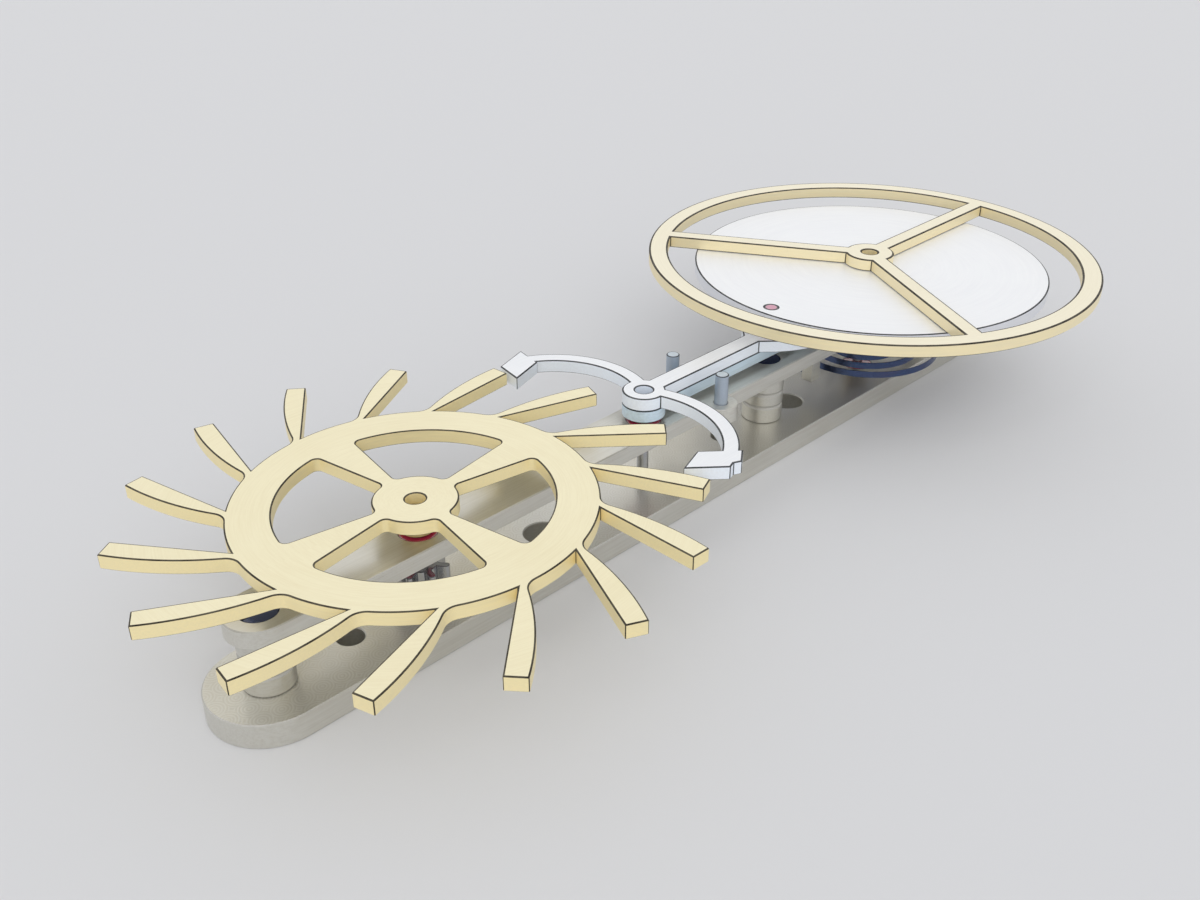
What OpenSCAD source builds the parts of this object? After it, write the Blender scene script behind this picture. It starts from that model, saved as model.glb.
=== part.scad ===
// Lever escapement on a slim skeleton carrier, standing at the middle of the lever's swing.
// The origin is on the underside, below the axis of the pallet fork, and +Z is up.
// +X runs along the line of centres to the balance, and the escape wheel is on the -X side.

/* [Moving plates] */
// Thickness of the wheel, the fork, the guard finger, both rollers and the balance
sheet_t = 0.27; // [0.24:0.01:0.3]
// Bore of the wheel, the fork, the guard finger, the roller disc and the balance
bore_d = 0.36; // [0.32:0.01:0.42]

/* [Escape wheel] */
// Radius of the circle through the locking corners of the teeth
wheel_r = 5; // [4.8:0.05:5.2]
// How far the heel of a tooth stands outside the locking corners
heel_rise = 0.177; // [0.12:0.005:0.18]
// Angle from the locking corner of a tooth to its heel, degrees
heel_angle = 3.8; // [3.2:0.1:3.8]
// Angle that the leading face of a tooth leans back from the wheel's radius, degrees
undercut = 24; // [22:0.5:26]
// Width of a tooth at its foot, along the rim
tooth_foot_w = 0.165; // [0.14:0.005:0.24]
// Radius of the curved back of a tooth
back_r = 5.32; // [4.8:0.02:6]
// Radius of the fillet between the back of a tooth and the rim
back_fillet_r = 0.3; // [0.2:0.02:0.36]
// Outer radius of the rim, at the feet of the teeth
rim_r = 3.2; // [3.1:0.02:3.3]
// Width of the rim
rim_w = 0.775; // [0.5:0.025:0.9]
// Radius of the wheel's hub
wheel_hub_r = 0.755; // [0.6:0.005:0.9]
// Angle that each of the four spokes covers, degrees
spoke_angle = 19.5; // [14:0.5:24]
// Radius of the fillets in the corners of the windows
window_fillet_r = 0.12; // [0.06:0.01:0.2]

/* [Pallet fork] */
// Width of each pallet along the fork's radius
pallet_w = 0.515; // [0.48:0.005:0.52]
// Length of each pallet behind its impulse face
pallet_l = 0.855; // [0.75:0.005:0.95]
// Angle of the locking faces off the wheel's radius, which draws the fork to its banking, degrees
draw = 12; // [11:0.5:13]
// Width of the two curved arms
arm_w = 0.32; // [0.24:0.01:0.38]
// Half of the angle that each arm's arc turns through, degrees
arm_bend = 46; // [42:1:50]
// Radius of the fork's hub
fork_hub_r = 0.44; // [0.4:0.01:0.5]
// Width of the lever and of the guard finger under it
lever_w = 0.433; // [0.36:0.001:0.46]
// Width across the tips of the horns
horn_span = 1.77; // [1.6:0.01:1.9]
// Play of the impulse jewel on each side of the notch
notch_play = 0.02; // [0.018:0.001:0.03]
// Width of the guard finger at its tip
guard_tip_w = 0.1; // [0.08:0.01:0.12]

/* [Balance] */
// Distance from the fork's axis to the impulse jewel at rest
fork_reach = 4.075; // [4:0.005:4.15]
// Distance from the balance's axis to the impulse jewel
impulse_r = 3.735; // [3.7:0.005:3.8]
// Diameter of the impulse jewel
impulse_d = 0.298; // [0.26:0.002:0.32]
// Width of the roller disc outside the centre of the impulse jewel
roller_margin = 0.375; // [0.3:0.005:0.5]
// Outer radius of the balance
balance_r = 5.22; // [5:0.02:5.5]
// Width of the balance's rim
balance_rim_w = 0.445; // [0.35:0.005:0.6]
// Width of the balance's three spokes
balance_spoke_w = 0.395; // [0.3:0.005:0.5]
// Radius of the balance's hub
balance_hub_r = 0.565; // [0.5:0.005:0.7]
// Radius of the safety roller that the guard finger runs against
safety_r = 2; // [1.96:0.01:2.02]
// Radius of the hollow in the edge of the safety roller
passing_r = 0.9; // [0.85:0.01:1]

/* [Hairspring] */
// Width of the spring from turn to turn
spring_pitch = 0.47; // [0.465:0.005:0.5]
// Number of turns
spring_turns = 4; // [2:1:4]
// Thickness of the spring's ribbon
spring_t = 0.05; // [0.04:0.005:0.05]
// Height of the spring's ribbon
spring_h = 0.15; // [0.1:0.01:0.2]
// Diameter of the collet on the staff
collet_d = 0.6; // [0.5:0.02:0.7]

/* [Arbors and jewels] */
// Diameter of the journals that run in the upper jewels
journal_d = 0.24; // [0.2:0.01:0.26]
// Diameter of the pivots that run in the lower jewels
pivot_d = 0.16; // [0.12:0.01:0.18]
// Play between a journal and its jewel, measured on the radius
jewel_play = 0.015; // [0.01:0.005:0.025]
// Height that an arbor can shift between its jewels
endshake = 0.03; // [0.02:0.005:0.04]
// Outer diameter of the jewels
jewel_d = 0.72; // [0.64:0.02:0.8]
// Thickness of the hole jewels
jewel_t = 0.3; // [0.26:0.01:0.32]
// Thickness of the endstone under the balance
endstone_t = 0.13; // [0.1:0.01:0.15]

/* [Carrier] */
// Thickness of the lower plate
plate_t = 0.5; // [0.48:0.02:0.7]
// Width of the lower plate
plate_w = 2.2; // [2:0.1:3]
// Height of the pillars between the plate and the bar
pillar_h = 1.1; // [1:0.05:1.3]
// Diameter of the pillars
pillar_d = 0.9; // [0.8:0.05:1]
// Thickness of the upper bar
bar_t = 0.35; // [0.33:0.01:0.45]
// Width of the upper bar
bar_w = 1.2; // [1.1:0.05:1.6]
// Diameter of the banking pins
banking_d = 0.28; // [0.24:0.01:0.32]
// Distance from the fork's axis to the banking pins, along the line of centres
banking_x = 1.635; // [1.5:0.005:1.8]

/* [Mounting] */
// Diameter of the two tapped holes in the plate, before threading for an M1 screw
tap_d = 0.75; // [0.6:0.05:0.9]
// Distance between the two tapped holes
tap_spacing = 7.8; // [7.7:0.05:7.9]
// Diameter of the two holes for steady pins
steady_d = 0.5; // [0.4:0.05:0.6]

/* [Hidden] */
$fn = 96;

// Solids that are joined or cut run past each other by this much
eps = 0.03;
// A fillet's round crosses the two edges that it joins by this little
crossing = 0.001;

// Levels, from the underside of the carrier upwards
bar_gap = 0.11;
roller_gap = 0.27;
bar_z = plate_t + pillar_h;
bar_top = bar_z + bar_t;
guard_z = bar_top + bar_gap;
fork_z = guard_z + sheet_t;
roller_z = fork_z + sheet_t + roller_gap;
balance_z = roller_z + sheet_t;
// The journals' shoulders clear the upper jewels, and the pivots' shoulders the lower ones
upper_shoulder_z = bar_top + endshake;
lower_shoulder_z = plate_t + endshake;

// The fork spans two and a half teeth, and its axis is where the tangents at the two locking
// corners cross, so both centre distances follow from the parts that meet
tooth_count = 15;
tooth_pitch = 360 / tooth_count;
half_span = 1.25 * tooth_pitch;
escape_x = -wheel_r / cos(half_span);
balance_x = fork_reach + impulse_r;

// How far a window's webs run into the spoke, degrees
web_overrun = 1.5;
// The teeth run on into the rim, down to this share of its outer radius
root_share = 0.97;

// The wheel stands just past the span's edge, with a tooth on the entry pallet's impulse face
wheel_phase = half_span + 0.1;

// Pallets: mean radius about the fork's axis, and how far ahead of the tangent the locking
// corners lie and how far behind it the let-off corners
pallet_r = wheel_r * tan(half_span);
tangent_angle = 90 + half_span;
lock_angle = 4.8;
let_off_angle = 4;
// Where each arm's centre line ends: share of the impulse face, counted from the let-off
// corner, and distance behind that face
entry_root = [0.31, pallet_l];
exit_root = [0.57, 0.8 * pallet_l];
// How far an arm's arc runs on into its pallet, degrees
arm_overrun = 2.5;
// The exit arm shows behind its pallet as a small toe: the share of the back face where it
// starts, and its corner as a share of that face and a distance behind it
toe_start = 0.228;
toe_corner = [0.317, 0.1365];

// The fork's head: half its width at places that are given from the impulse jewel's centre
head_outline = [[-0.67, lever_w / 2], [-0.355, 0.56 * horn_span / 2],
    [-0.115, 0.76 * horn_span / 2], [0.085, 0.89 * horn_span / 2],
    [0.305, horn_span / 2], [0.425, 0.97 * horn_span / 2]];
notch_w = impulse_d + 2 * notch_play;
// Depth of the notch behind the jewel, and the room that the horns leave it as it passes them
notch_floor_gap = 0.04;
horn_gap = 0.05;

// The banking pins stop the lever just past the travel that the jewel gives it
banking_angle = 10.95;
banking_y = banking_x * tan(banking_angle)
    + (lever_w + banking_d) / 2 / cos(banking_angle);
banking_ear_r = 0.36;
// Angle of the fork, where the impulse jewel has just left the notch
lever_travel = 10.8;

// The guard finger's tip reaches into the hollow of the safety roller
guard_depth = 0.42;
guard_taper_l = 1.6;
guard_tip_x = balance_x - safety_r + guard_depth;
guard_taper_x = guard_tip_x - guard_taper_l;

// Seats on the arbors
arbor_seat = 0.06;
staff_d = 0.56;
staff_flange_d = 0.68;
shoulder_d = 0.6;
pinion_leaves = 7;
pinion_d = 1.04;
pinion_root_d = 0.6;
pinion_leaf_w = 0.13;
pinion_h = 0.5;
pinion_z = plate_t + 0.25;
// The pivots end above the floors of their seats, or above the endstone
pivot_gap = 0.02;
pivot_end_z = plate_t - jewel_t + pivot_gap;
endstone_sink = 0.02;
sink_d = 0.46;
sink_t = 0.1;

// The spring lies halfway between the plate and the bar, and its stud hangs from the bar
spring_z = plate_t + pillar_h / 2 - spring_h / 2;
spring_in_r = (collet_d + spring_t) / 2;
spring_out_r = spring_in_r + spring_turns * spring_pitch;
spring_steps = 48;
collet_h = spring_h + 0.1;
collet_slit = 0.04;
stud_w = 0.3;
stud_shank_d = 0.28;
stud_drop = 0.08;
stud_screw_d = 0.2;

// Pillars stand past the escape wheel's axis, past the balance's axis, and between the fork
// and the balance
escape_to_pillar = 3.2;
fork_to_pillar = 4;
balance_to_pillar = 2.9;
pillar_x = [escape_x - escape_to_pillar, fork_to_pillar, balance_x + balance_to_pillar];
pillar_rivet_d = 0.5;
screw_d = 0.4;
screw_l = 0.6;
screw_head_d = 0.68;
screw_head_t = 0.16;
screw_head_sink = 0.02;
screw_slot = 0.08;

// Mounting holes: one tapped hole lies on each side of the fork, clear of the hairspring
tap_mid_x = 1.05;
tap_x = [tap_mid_x - tap_spacing / 2, tap_mid_x + tap_spacing / 2];
steady_to_pillar = 1.4;
steady_x = [(pillar_x[0] + escape_x) / 2, pillar_x[1] - steady_to_pillar];

axis_x = [escape_x, 0, balance_x];

function polar(r, a) = [r * cos(a), r * sin(a)];

// Centre of the circle of radius r through p and q, on the left of the way from p to q
function circle_centre(p, q, r) =
    let (d = norm(q - p), u = (q - p) / d)
    (p + q) / 2 + [-u.y, u.x] * sqrt(r * r - d * d / 4);

// Point at distance r from the origin and s from c, on the left of the way to c
function two_distances(c, r, s) =
    let (d = norm(c), along = (r * r + d * d - s * s) / (2 * d), u = c / d)
    u * along + [-u.y, u.x] * sqrt(r * r - along * along);

// Centre and root of an arm's arc, which starts at the fork's axis and bends to one side
function arm_centre(root, side) =
    root / 2 + side * [-root.y, root.x] / (2 * tan(arm_bend));

// Corners of a pallet on the entry side (1) or the exit side (-1)
function lock_corner(side) =
    polar(pallet_r + side * pallet_w / 2, side * (tangent_angle - lock_angle));
function let_off_corner(side) =
    polar(pallet_r - side * pallet_w / 2, side * (tangent_angle + let_off_angle));
function pallet_run(side) = polar(pallet_l, side * half_span - draw);
function arm_root(side, place) =
    let_off_corner(side) + place[0] * (lock_corner(side) - let_off_corner(side))
    + place[1] / pallet_l * pallet_run(side);

// The points of an outline, turned round where they run clockwise
function anticlockwise(points) =
    let (n = len(points), doubled = [for (i = [0:n - 1]) cross(points[i], points[(i + 1) % n])])
    doubled * [for (p = points) 1] > 0 ? points : [for (i = [n - 1:-1:0]) points[i]];

// A web that fills the corner at m, up to the round of radius r about c. The web's other two
// points, p and q, lie past the ends of the round
module corner_web(c, p, m, q, r) {
    difference() {
        polygon(anticlockwise([c, p, m, q]));
        translate(c) circle(r = r + crossing);
    }
}

module bore_through(d, h) {
    translate([0, 0, -eps]) cylinder(d = d, h = h + 2 * eps);
}

module slotted_bar(from_x, to_x, width) {
    translate([from_x, -width / 2]) square([to_x - from_x, width]);
    translate([from_x, 0]) circle(d = width);
    translate([to_x, 0]) circle(d = width);
}

module main_plate() {
    color([0.86, 0.86, 0.83]) difference() {
        linear_extrude(plate_t) slotted_bar(pillar_x[0], pillar_x[2], plate_w);
        for (x = pillar_x) translate([x, 0, 0]) bore_through(pillar_rivet_d, plate_t);
        for (x = tap_x) translate([x, 0, 0]) bore_through(tap_d, plate_t);
        for (x = steady_x) translate([x, 0, 0]) bore_through(steady_d, plate_t);
        // The jewels sit in blind seats, and the balance's seat goes through for its endstone
        for (x = [escape_x, 0]) translate([x, 0, plate_t - jewel_t])
            cylinder(d = jewel_d, h = jewel_t + eps);
        translate([balance_x, 0, 0]) bore_through(jewel_d, plate_t);
    }
}

module pillars() {
    color([0.83, 0.83, 0.8]) for (x = pillar_x) translate([x, 0, 0]) difference() {
        union() {
            cylinder(d = pillar_rivet_d, h = plate_t + eps);
            translate([0, 0, plate_t]) cylinder(d = pillar_d, h = pillar_h);
        }
        translate([0, 0, bar_z - screw_l]) cylinder(d = screw_d, h = screw_l + eps);
    }
}

module bar_outline() {
    slotted_bar(pillar_x[0], pillar_x[2], bar_w);
    for (side = [1, -1]) {
        translate([banking_x, side * banking_y]) circle(r = banking_ear_r);
        translate([banking_x - banking_ear_r, side > 0 ? 0 : -banking_y])
            square([2 * banking_ear_r, banking_y]);
    }
}

module upper_bar() {
    color([0.86, 0.86, 0.83]) difference() {
        translate([0, 0, bar_z]) linear_extrude(bar_t) bar_outline();
        for (x = axis_x) translate([x, 0, bar_z]) bore_through(jewel_d, bar_t);
        for (x = pillar_x) translate([x, 0, bar_z]) {
            bore_through(screw_d, bar_t);
            translate([0, 0, bar_t - screw_head_t - screw_head_sink])
                cylinder(d = screw_head_d, h = screw_head_t + screw_head_sink + eps);
        }
        for (side = [1, -1]) translate([banking_x, side * banking_y, bar_z])
            bore_through(banking_d, bar_t);
        translate([stud_x(), 0, bar_z]) bore_through(stud_shank_d, bar_t);
        translate([stud_x(), 0, bar_z + bar_t / 2]) rotate([-90, 0, 0])
            cylinder(d = stud_screw_d, h = bar_w / 2 + eps);
    }
}

module bar_screws() {
    color([0.62, 0.66, 0.74]) for (x = pillar_x) translate([x, 0, 0]) difference() {
        union() {
            translate([0, 0, bar_z - screw_l])
                cylinder(d = screw_d, h = screw_l + bar_t - screw_head_sink - eps);
            translate([0, 0, bar_top - screw_head_sink - screw_head_t])
                cylinder(d = screw_head_d, h = screw_head_t);
        }
        translate([-screw_head_d, -screw_slot / 2, bar_top - screw_head_sink - screw_head_t / 2])
            cube([2 * screw_head_d, screw_slot, screw_head_t]);
    }
}

module banking_pins() {
    color([0.55, 0.59, 0.65]) for (side = [1, -1])
        translate([banking_x, side * banking_y, bar_z])
            cylinder(d = banking_d, h = fork_z + sheet_t - bar_z);
}

// A round jewel of thickness t with a hole for a journal of diameter d and a dished oil sink
module hole_jewel(x, z, t, d, sink_up) {
    color([0.85, 0.2, 0.35]) translate([x, 0, z]) difference() {
        cylinder(d = jewel_d, h = t);
        bore_through(d + 2 * jewel_play, t);
        translate([0, 0, sink_up ? t - sink_t : -eps])
            cylinder(d1 = sink_up ? d + 2 * jewel_play : sink_d + eps,
                d2 = sink_up ? sink_d + eps : d + 2 * jewel_play, h = sink_t + eps);
    }
}

module escape_lower_jewel() { hole_jewel(escape_x, plate_t - jewel_t, jewel_t, pivot_d, false); }
module pallet_lower_jewel() { hole_jewel(0, plate_t - jewel_t, jewel_t, pivot_d, false); }
module balance_lower_jewel() { hole_jewel(balance_x, plate_t - jewel_t, jewel_t, pivot_d, false); }
module escape_upper_jewel() { hole_jewel(escape_x, bar_z, bar_t, journal_d, true); }
module pallet_upper_jewel() { hole_jewel(0, bar_z, bar_t, journal_d, true); }
module balance_upper_jewel() { hole_jewel(balance_x, bar_z, bar_t, journal_d, true); }

module balance_endstone() {
    color([0.88, 0.3, 0.42]) translate([balance_x, 0, endstone_sink])
        cylinder(d = jewel_d, h = endstone_t);
}

// The spring's centre line, inwards from its stud on the line of centres
function spring_point(i, side) =
    let (turn = i / spring_steps)
    polar(spring_in_r + turn * spring_pitch + side * spring_t / 2, 180 - 360 * (spring_turns - turn));
function spring_edge(side) =
    [for (i = [0:spring_turns * spring_steps]) spring_point(i, side)];
function stud_x() = balance_x - spring_out_r;

spring_gap = min([for (i = [0:(spring_turns - 1) * spring_steps])
    min([for (j = [i + spring_steps / 2:min(i + 3 * spring_steps / 2, spring_turns * spring_steps)])
        norm(spring_point(i, 1) - spring_point(j, -1))])]);
echo(hairspring_least_gap_to_itself = spring_gap);

module hairspring() {
    outer = spring_edge(1);
    inner = spring_edge(-1);
    ribbon = concat(outer, [for (i = [len(inner) - 1:-1:0]) inner[i]]);
    color([0.35, 0.45, 0.65]) translate([balance_x, 0, spring_z])
        linear_extrude(spring_h) polygon(ribbon);
}

// The spring's end butts against the stud's flat side, and the shank goes up into the bar
module hairspring_stud() {
    stud_bottom = spring_z - stud_drop;
    color([0.78, 0.78, 0.76]) translate([stud_x(), 0, 0]) {
        translate([-stud_w / 2, -stud_w, stud_bottom])
            cube([stud_w, stud_w, bar_z - stud_bottom]);
        translate([0, 0, bar_z - stud_w]) cylinder(d = stud_shank_d, h = stud_w + bar_t);
    }
}

module stud_screw() {
    reach = bar_w / 2 - stud_shank_d / 2;
    color([0.62, 0.66, 0.74]) translate([stud_x(), stud_shank_d / 2, bar_z + bar_t / 2])
        rotate([-90, 0, 0]) difference() {
            cylinder(d = stud_screw_d, h = reach);
            translate([-stud_screw_d, -stud_screw_d / 6, reach - stud_screw_d / 3])
                cube([2 * stud_screw_d, stud_screw_d / 3, stud_screw_d]);
        }
}

// Where the leading face of a tooth comes down to distance r from the wheel's axis
function leading_face_point(r) =
    let (down = wheel_r * cos(undercut) - sqrt(r * r - pow(wheel_r * sin(undercut), 2)))
    [wheel_r, 0] + polar(down, 180 - undercut);

// One tooth, with its locking corner on the +X axis. The wheel turns clockwise, so the
// curved back is on the anticlockwise side
module tooth_outline() {
    lead = [wheel_r, 0];
    heel = polar(wheel_r + heel_rise, heel_angle);
    foot_on_rim = leading_face_point(rim_r);
    back_foot = polar(rim_r,
        atan2(foot_on_rim.y, foot_on_rim.x) + tooth_foot_w / rim_r * 180 / PI);
    back_c = circle_centre(heel, back_foot, back_r);
    sagitta = back_r - norm((heel + back_foot) / 2 - back_c);
    away = ((heel + back_foot) / 2 - back_c) / (back_r - sagitta);
    intersection() {
        translate(back_c) circle(r = back_r, $fn = 360);
        polygon([lead, heel + 0.3 * (heel - lead), (heel + back_foot) / 2 + 3 * sagitta * away,
            root_share * back_foot, leading_face_point(root_share * rim_r)]);
    }
    // The fillet touches the rim and the back from outside
    web_c = two_distances(back_c, rim_r + back_fillet_r, back_r + back_fillet_r);
    on_rim = web_c * (rim_r - eps) / (rim_r + back_fillet_r);
    on_back = back_c + (web_c - back_c) * (back_r - eps) / (back_r + back_fillet_r);
    corner_web(web_c, on_rim, root_share * back_foot, on_back, back_fillet_r);
}

// The webs that round the corners of a window along one side of a spoke. Each runs into the
// spoke by a small angle
module window_webs(edge, side) {
    rim_in_r = rim_r - rim_w;
    f = window_fillet_r;
    outer_off = asin(f / (rim_in_r - f));
    outer_c = polar(rim_in_r - f, edge + side * outer_off);
    outer_foot = polar((rim_in_r - f) * cos(outer_off), edge);
    corner_web(outer_c, polar(rim_in_r + eps, edge + side * outer_off),
        polar(rim_in_r + eps, edge - side * web_overrun), outer_c + (outer_foot - outer_c) * (f + eps) / f, f);
    inner_off = asin(f / (wheel_hub_r + f));
    inner_c = polar(wheel_hub_r + f, edge + side * inner_off);
    inner_foot = polar((wheel_hub_r + f) * cos(inner_off), edge);
    corner_web(inner_c, polar(wheel_hub_r - eps, edge + side * inner_off),
        polar(wheel_hub_r - eps, edge - side * web_overrun), inner_c + (inner_foot - inner_c) * (f + eps) / f, f);
}

module escape_wheel() {
    spoke_r = rim_r - rim_w / 2;
    color([0.94, 0.9, 0.77]) translate([escape_x, 0, fork_z]) linear_extrude(sheet_t) {
        for (i = [0:tooth_count - 1]) rotate(wheel_phase - i * tooth_pitch) tooth_outline();
        difference() {
            circle(r = rim_r, $fn = 180);
            circle(r = rim_r - rim_w, $fn = 180);
        }
        difference() {
            union() {
                circle(r = wheel_hub_r);
                for (a = [0, 90, 180, 270]) {
                    polygon([[0, 0], polar(spoke_r, a - spoke_angle / 2),
                        polar(spoke_r, a + spoke_angle / 2)]);
                    window_webs(a + spoke_angle / 2, 1);
                    window_webs(a - spoke_angle / 2, -1);
                }
            }
            circle(d = bore_d);
        }
    }
}

// The pinion is cut in one piece with its arbor, and its top ends inside the collet
module escape_pinion() {
    color([0.7, 0.72, 0.76]) translate([escape_x, 0, 0]) {
        translate([0, 0, pivot_end_z]) cylinder(d = pivot_d, h = lower_shoulder_z - pivot_end_z);
        translate([0, 0, lower_shoulder_z])
            cylinder(d = journal_d, h = fork_z + arbor_seat - lower_shoulder_z);
        translate([0, 0, pinion_z]) linear_extrude(pinion_h) {
            circle(d = pinion_root_d);
            for (i = [0:pinion_leaves - 1]) rotate(i * 360 / pinion_leaves) {
                translate([0, -pinion_leaf_w / 2])
                    square([pinion_d / 2 - pinion_leaf_w / 2, pinion_leaf_w]);
                translate([pinion_d / 2 - pinion_leaf_w / 2, 0]) circle(d = pinion_leaf_w);
            }
        }
    }
}

// The collet carries the wheel: it is pressed on the arbor, and its rim enters the wheel's bore
module escape_collet() {
    color([0.85, 0.78, 0.55]) translate([escape_x, 0, 0]) difference() {
        union() {
            translate([0, 0, upper_shoulder_z])
                cylinder(d = shoulder_d, h = fork_z - upper_shoulder_z);
            translate([0, 0, fork_z - eps]) cylinder(d = bore_d, h = arbor_seat + eps);
        }
        translate([0, 0, upper_shoulder_z])
            bore_through(journal_d, fork_z + arbor_seat - upper_shoulder_z);
    }
}

module pallet_arm(side, place) {
    root = arm_root(side, place);
    c = arm_centre(root, side);
    r = norm(c);
    start = atan2(-c.y, -c.x);
    sweep = side * (2 * arm_bend + arm_overrun);
    intersection() {
        translate(c) difference() {
            circle(r = r + arm_w / 2, $fn = 180);
            circle(r = r - arm_w / 2, $fn = 180);
        }
        polygon([c, for (i = [0:4]) c + polar(2 * r, start + sweep * i / 4)]);
    }
}

module pallet_outline(side) {
    run = pallet_run(side);
    face = lock_corner(side) - let_off_corner(side);
    back = let_off_corner(side) + run;
    toe = [back + toe_start * face, back + toe_corner[0] * face + toe_corner[1] / pallet_l * run];
    polygon(concat([lock_corner(side), let_off_corner(side), back], side < 0 ? toe : [],
        [back + face]));
}

// The head ends in two horns, whose inner faces clear the jewel's path on their own side
module fork_head(side) {
    banked = polar(balance_x, -lever_travel);
    // The flare starts inside the lever, on the line of its first stretch
    root = 1.2 * head_outline[0] - 0.2 * head_outline[1];
    flare = [for (i = [1:len(head_outline) - 1]) head_outline[i]];
    half = concat([[root.x, -eps], root], flare, [[flare[len(flare) - 1].x, -eps]]);
    difference() {
        polygon(anticlockwise([for (p = half) [fork_reach + p.x, side * p.y]]));
        translate([banked.x, side * banked.y])
            circle(r = impulse_r + impulse_d / 2 + horn_gap, $fn = 360);
    }
}

module pallet_fork() {
    color([0.92, 0.92, 0.93]) translate([0, 0, fork_z]) linear_extrude(sheet_t) difference() {
        union() {
            circle(r = fork_hub_r);
            translate([0, -lever_w / 2])
                square([fork_reach + head_outline[1].x, lever_w]);
            for (side = [1, -1]) {
                pallet_arm(side, side > 0 ? entry_root : exit_root);
                pallet_outline(side);
                fork_head(side);
            }
        }
        circle(d = bore_d);
        translate([fork_reach - impulse_d / 2 - notch_floor_gap, -notch_w / 2])
            square([fork_reach, notch_w]);
    }
}

// The finger lies under the lever, is as wide, and passes below the notch to the safety roller
module guard_finger() {
    color([0.72, 0.78, 0.82]) translate([0, 0, guard_z]) linear_extrude(sheet_t) difference() {
        union() {
            circle(r = fork_hub_r);
            polygon([[0, -lever_w / 2], [guard_taper_x, -lever_w / 2],
                [guard_tip_x, -guard_tip_w / 2], [guard_tip_x, guard_tip_w / 2],
                [guard_taper_x, lever_w / 2], [0, lever_w / 2]]);
        }
        circle(d = bore_d);
    }
}

module pallet_arbor() {
    color([0.7, 0.72, 0.76]) {
        translate([0, 0, pivot_end_z]) cylinder(d = pivot_d, h = lower_shoulder_z - pivot_end_z);
        translate([0, 0, lower_shoulder_z])
            cylinder(d = journal_d, h = guard_z - lower_shoulder_z);
        translate([0, 0, upper_shoulder_z])
            cylinder(d = shoulder_d, h = guard_z - upper_shoulder_z);
        translate([0, 0, guard_z - eps])
            cylinder(d = bore_d, h = fork_z + arbor_seat - guard_z + eps);
    }
}

module balance_wheel() {
    spoke_r = balance_r - balance_rim_w / 2;
    color([0.95, 0.92, 0.83]) translate([balance_x, 0, balance_z]) linear_extrude(sheet_t) {
        difference() {
            circle(r = balance_r, $fn = 180);
            circle(r = balance_r - balance_rim_w, $fn = 180);
        }
        difference() {
            union() {
                circle(r = balance_hub_r);
                for (a = [0, 120, 240]) rotate(a) translate([0, -balance_spoke_w / 2])
                    square([spoke_r, balance_spoke_w]);
            }
            circle(d = bore_d);
        }
    }
}

module roller_disc() {
    color([0.94, 0.94, 0.95]) translate([balance_x, 0, roller_z]) linear_extrude(sheet_t)
        difference() {
            circle(r = impulse_r + roller_margin, $fn = 180);
            circle(d = bore_d);
            translate([-impulse_r, 0]) circle(d = impulse_d);
        }
}

// The jewel is flush with the top of the disc, and ends above the guard finger
module impulse_jewel() {
    finger_gap = 0.045;
    color([0.86, 0.62, 0.72]) translate([fork_reach, 0, fork_z + finger_gap])
        cylinder(d = impulse_d, h = roller_z + sheet_t - fork_z - finger_gap);
}

module safety_roller() {
    color([0.9, 0.9, 0.92]) translate([balance_x, 0, guard_z]) linear_extrude(sheet_t)
        difference() {
            circle(r = safety_r);
            circle(d = staff_d);
            translate([-safety_r, 0]) circle(r = passing_r);
        }
}

module balance_staff() {
    pivot_z = endstone_sink + endstone_t + pivot_gap;
    color([0.7, 0.72, 0.76]) translate([balance_x, 0, 0]) {
        translate([0, 0, pivot_z]) cylinder(d = pivot_d, h = lower_shoulder_z - pivot_z);
        translate([0, 0, lower_shoulder_z])
            cylinder(d = journal_d, h = guard_z - lower_shoulder_z);
        translate([0, 0, upper_shoulder_z])
            cylinder(d = staff_flange_d, h = guard_z - upper_shoulder_z);
        translate([0, 0, guard_z - eps]) cylinder(d = staff_d, h = roller_z - guard_z + eps);
        translate([0, 0, roller_z - eps])
            cylinder(d = bore_d, h = sheet_t + arbor_seat + eps);
    }
}

module hairspring_collet() {
    color([0.85, 0.78, 0.55])
        translate([balance_x, 0, spring_z - (collet_h - spring_h) / 2]) difference() {
            cylinder(d = collet_d, h = collet_h);
            bore_through(journal_d, collet_h);
            translate([0, -collet_slit / 2, -eps])
                cube([collet_d, collet_slit, collet_h + 2 * eps]);
        }
}

main_plate();
pillars();
upper_bar();
bar_screws();
banking_pins();
escape_lower_jewel();
escape_upper_jewel();
pallet_lower_jewel();
pallet_upper_jewel();
balance_lower_jewel();
balance_upper_jewel();
balance_endstone();
hairspring();
hairspring_stud();
stud_screw();
escape_wheel();
escape_pinion();
escape_collet();
pallet_fork();
guard_finger();
pallet_arbor();
balance_wheel();
roller_disc();
impulse_jewel();
safety_roller();
balance_staff();
hairspring_collet();
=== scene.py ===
from math import acos, asin, atan2, ceil, cos, degrees, pi, radians, sin, sqrt, tan

import bmesh
import bpy
from mathutils import Matrix, Vector
from mathutils.geometry import intersect_line_sphere_2d, intersect_sphere_sphere_2d


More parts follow.
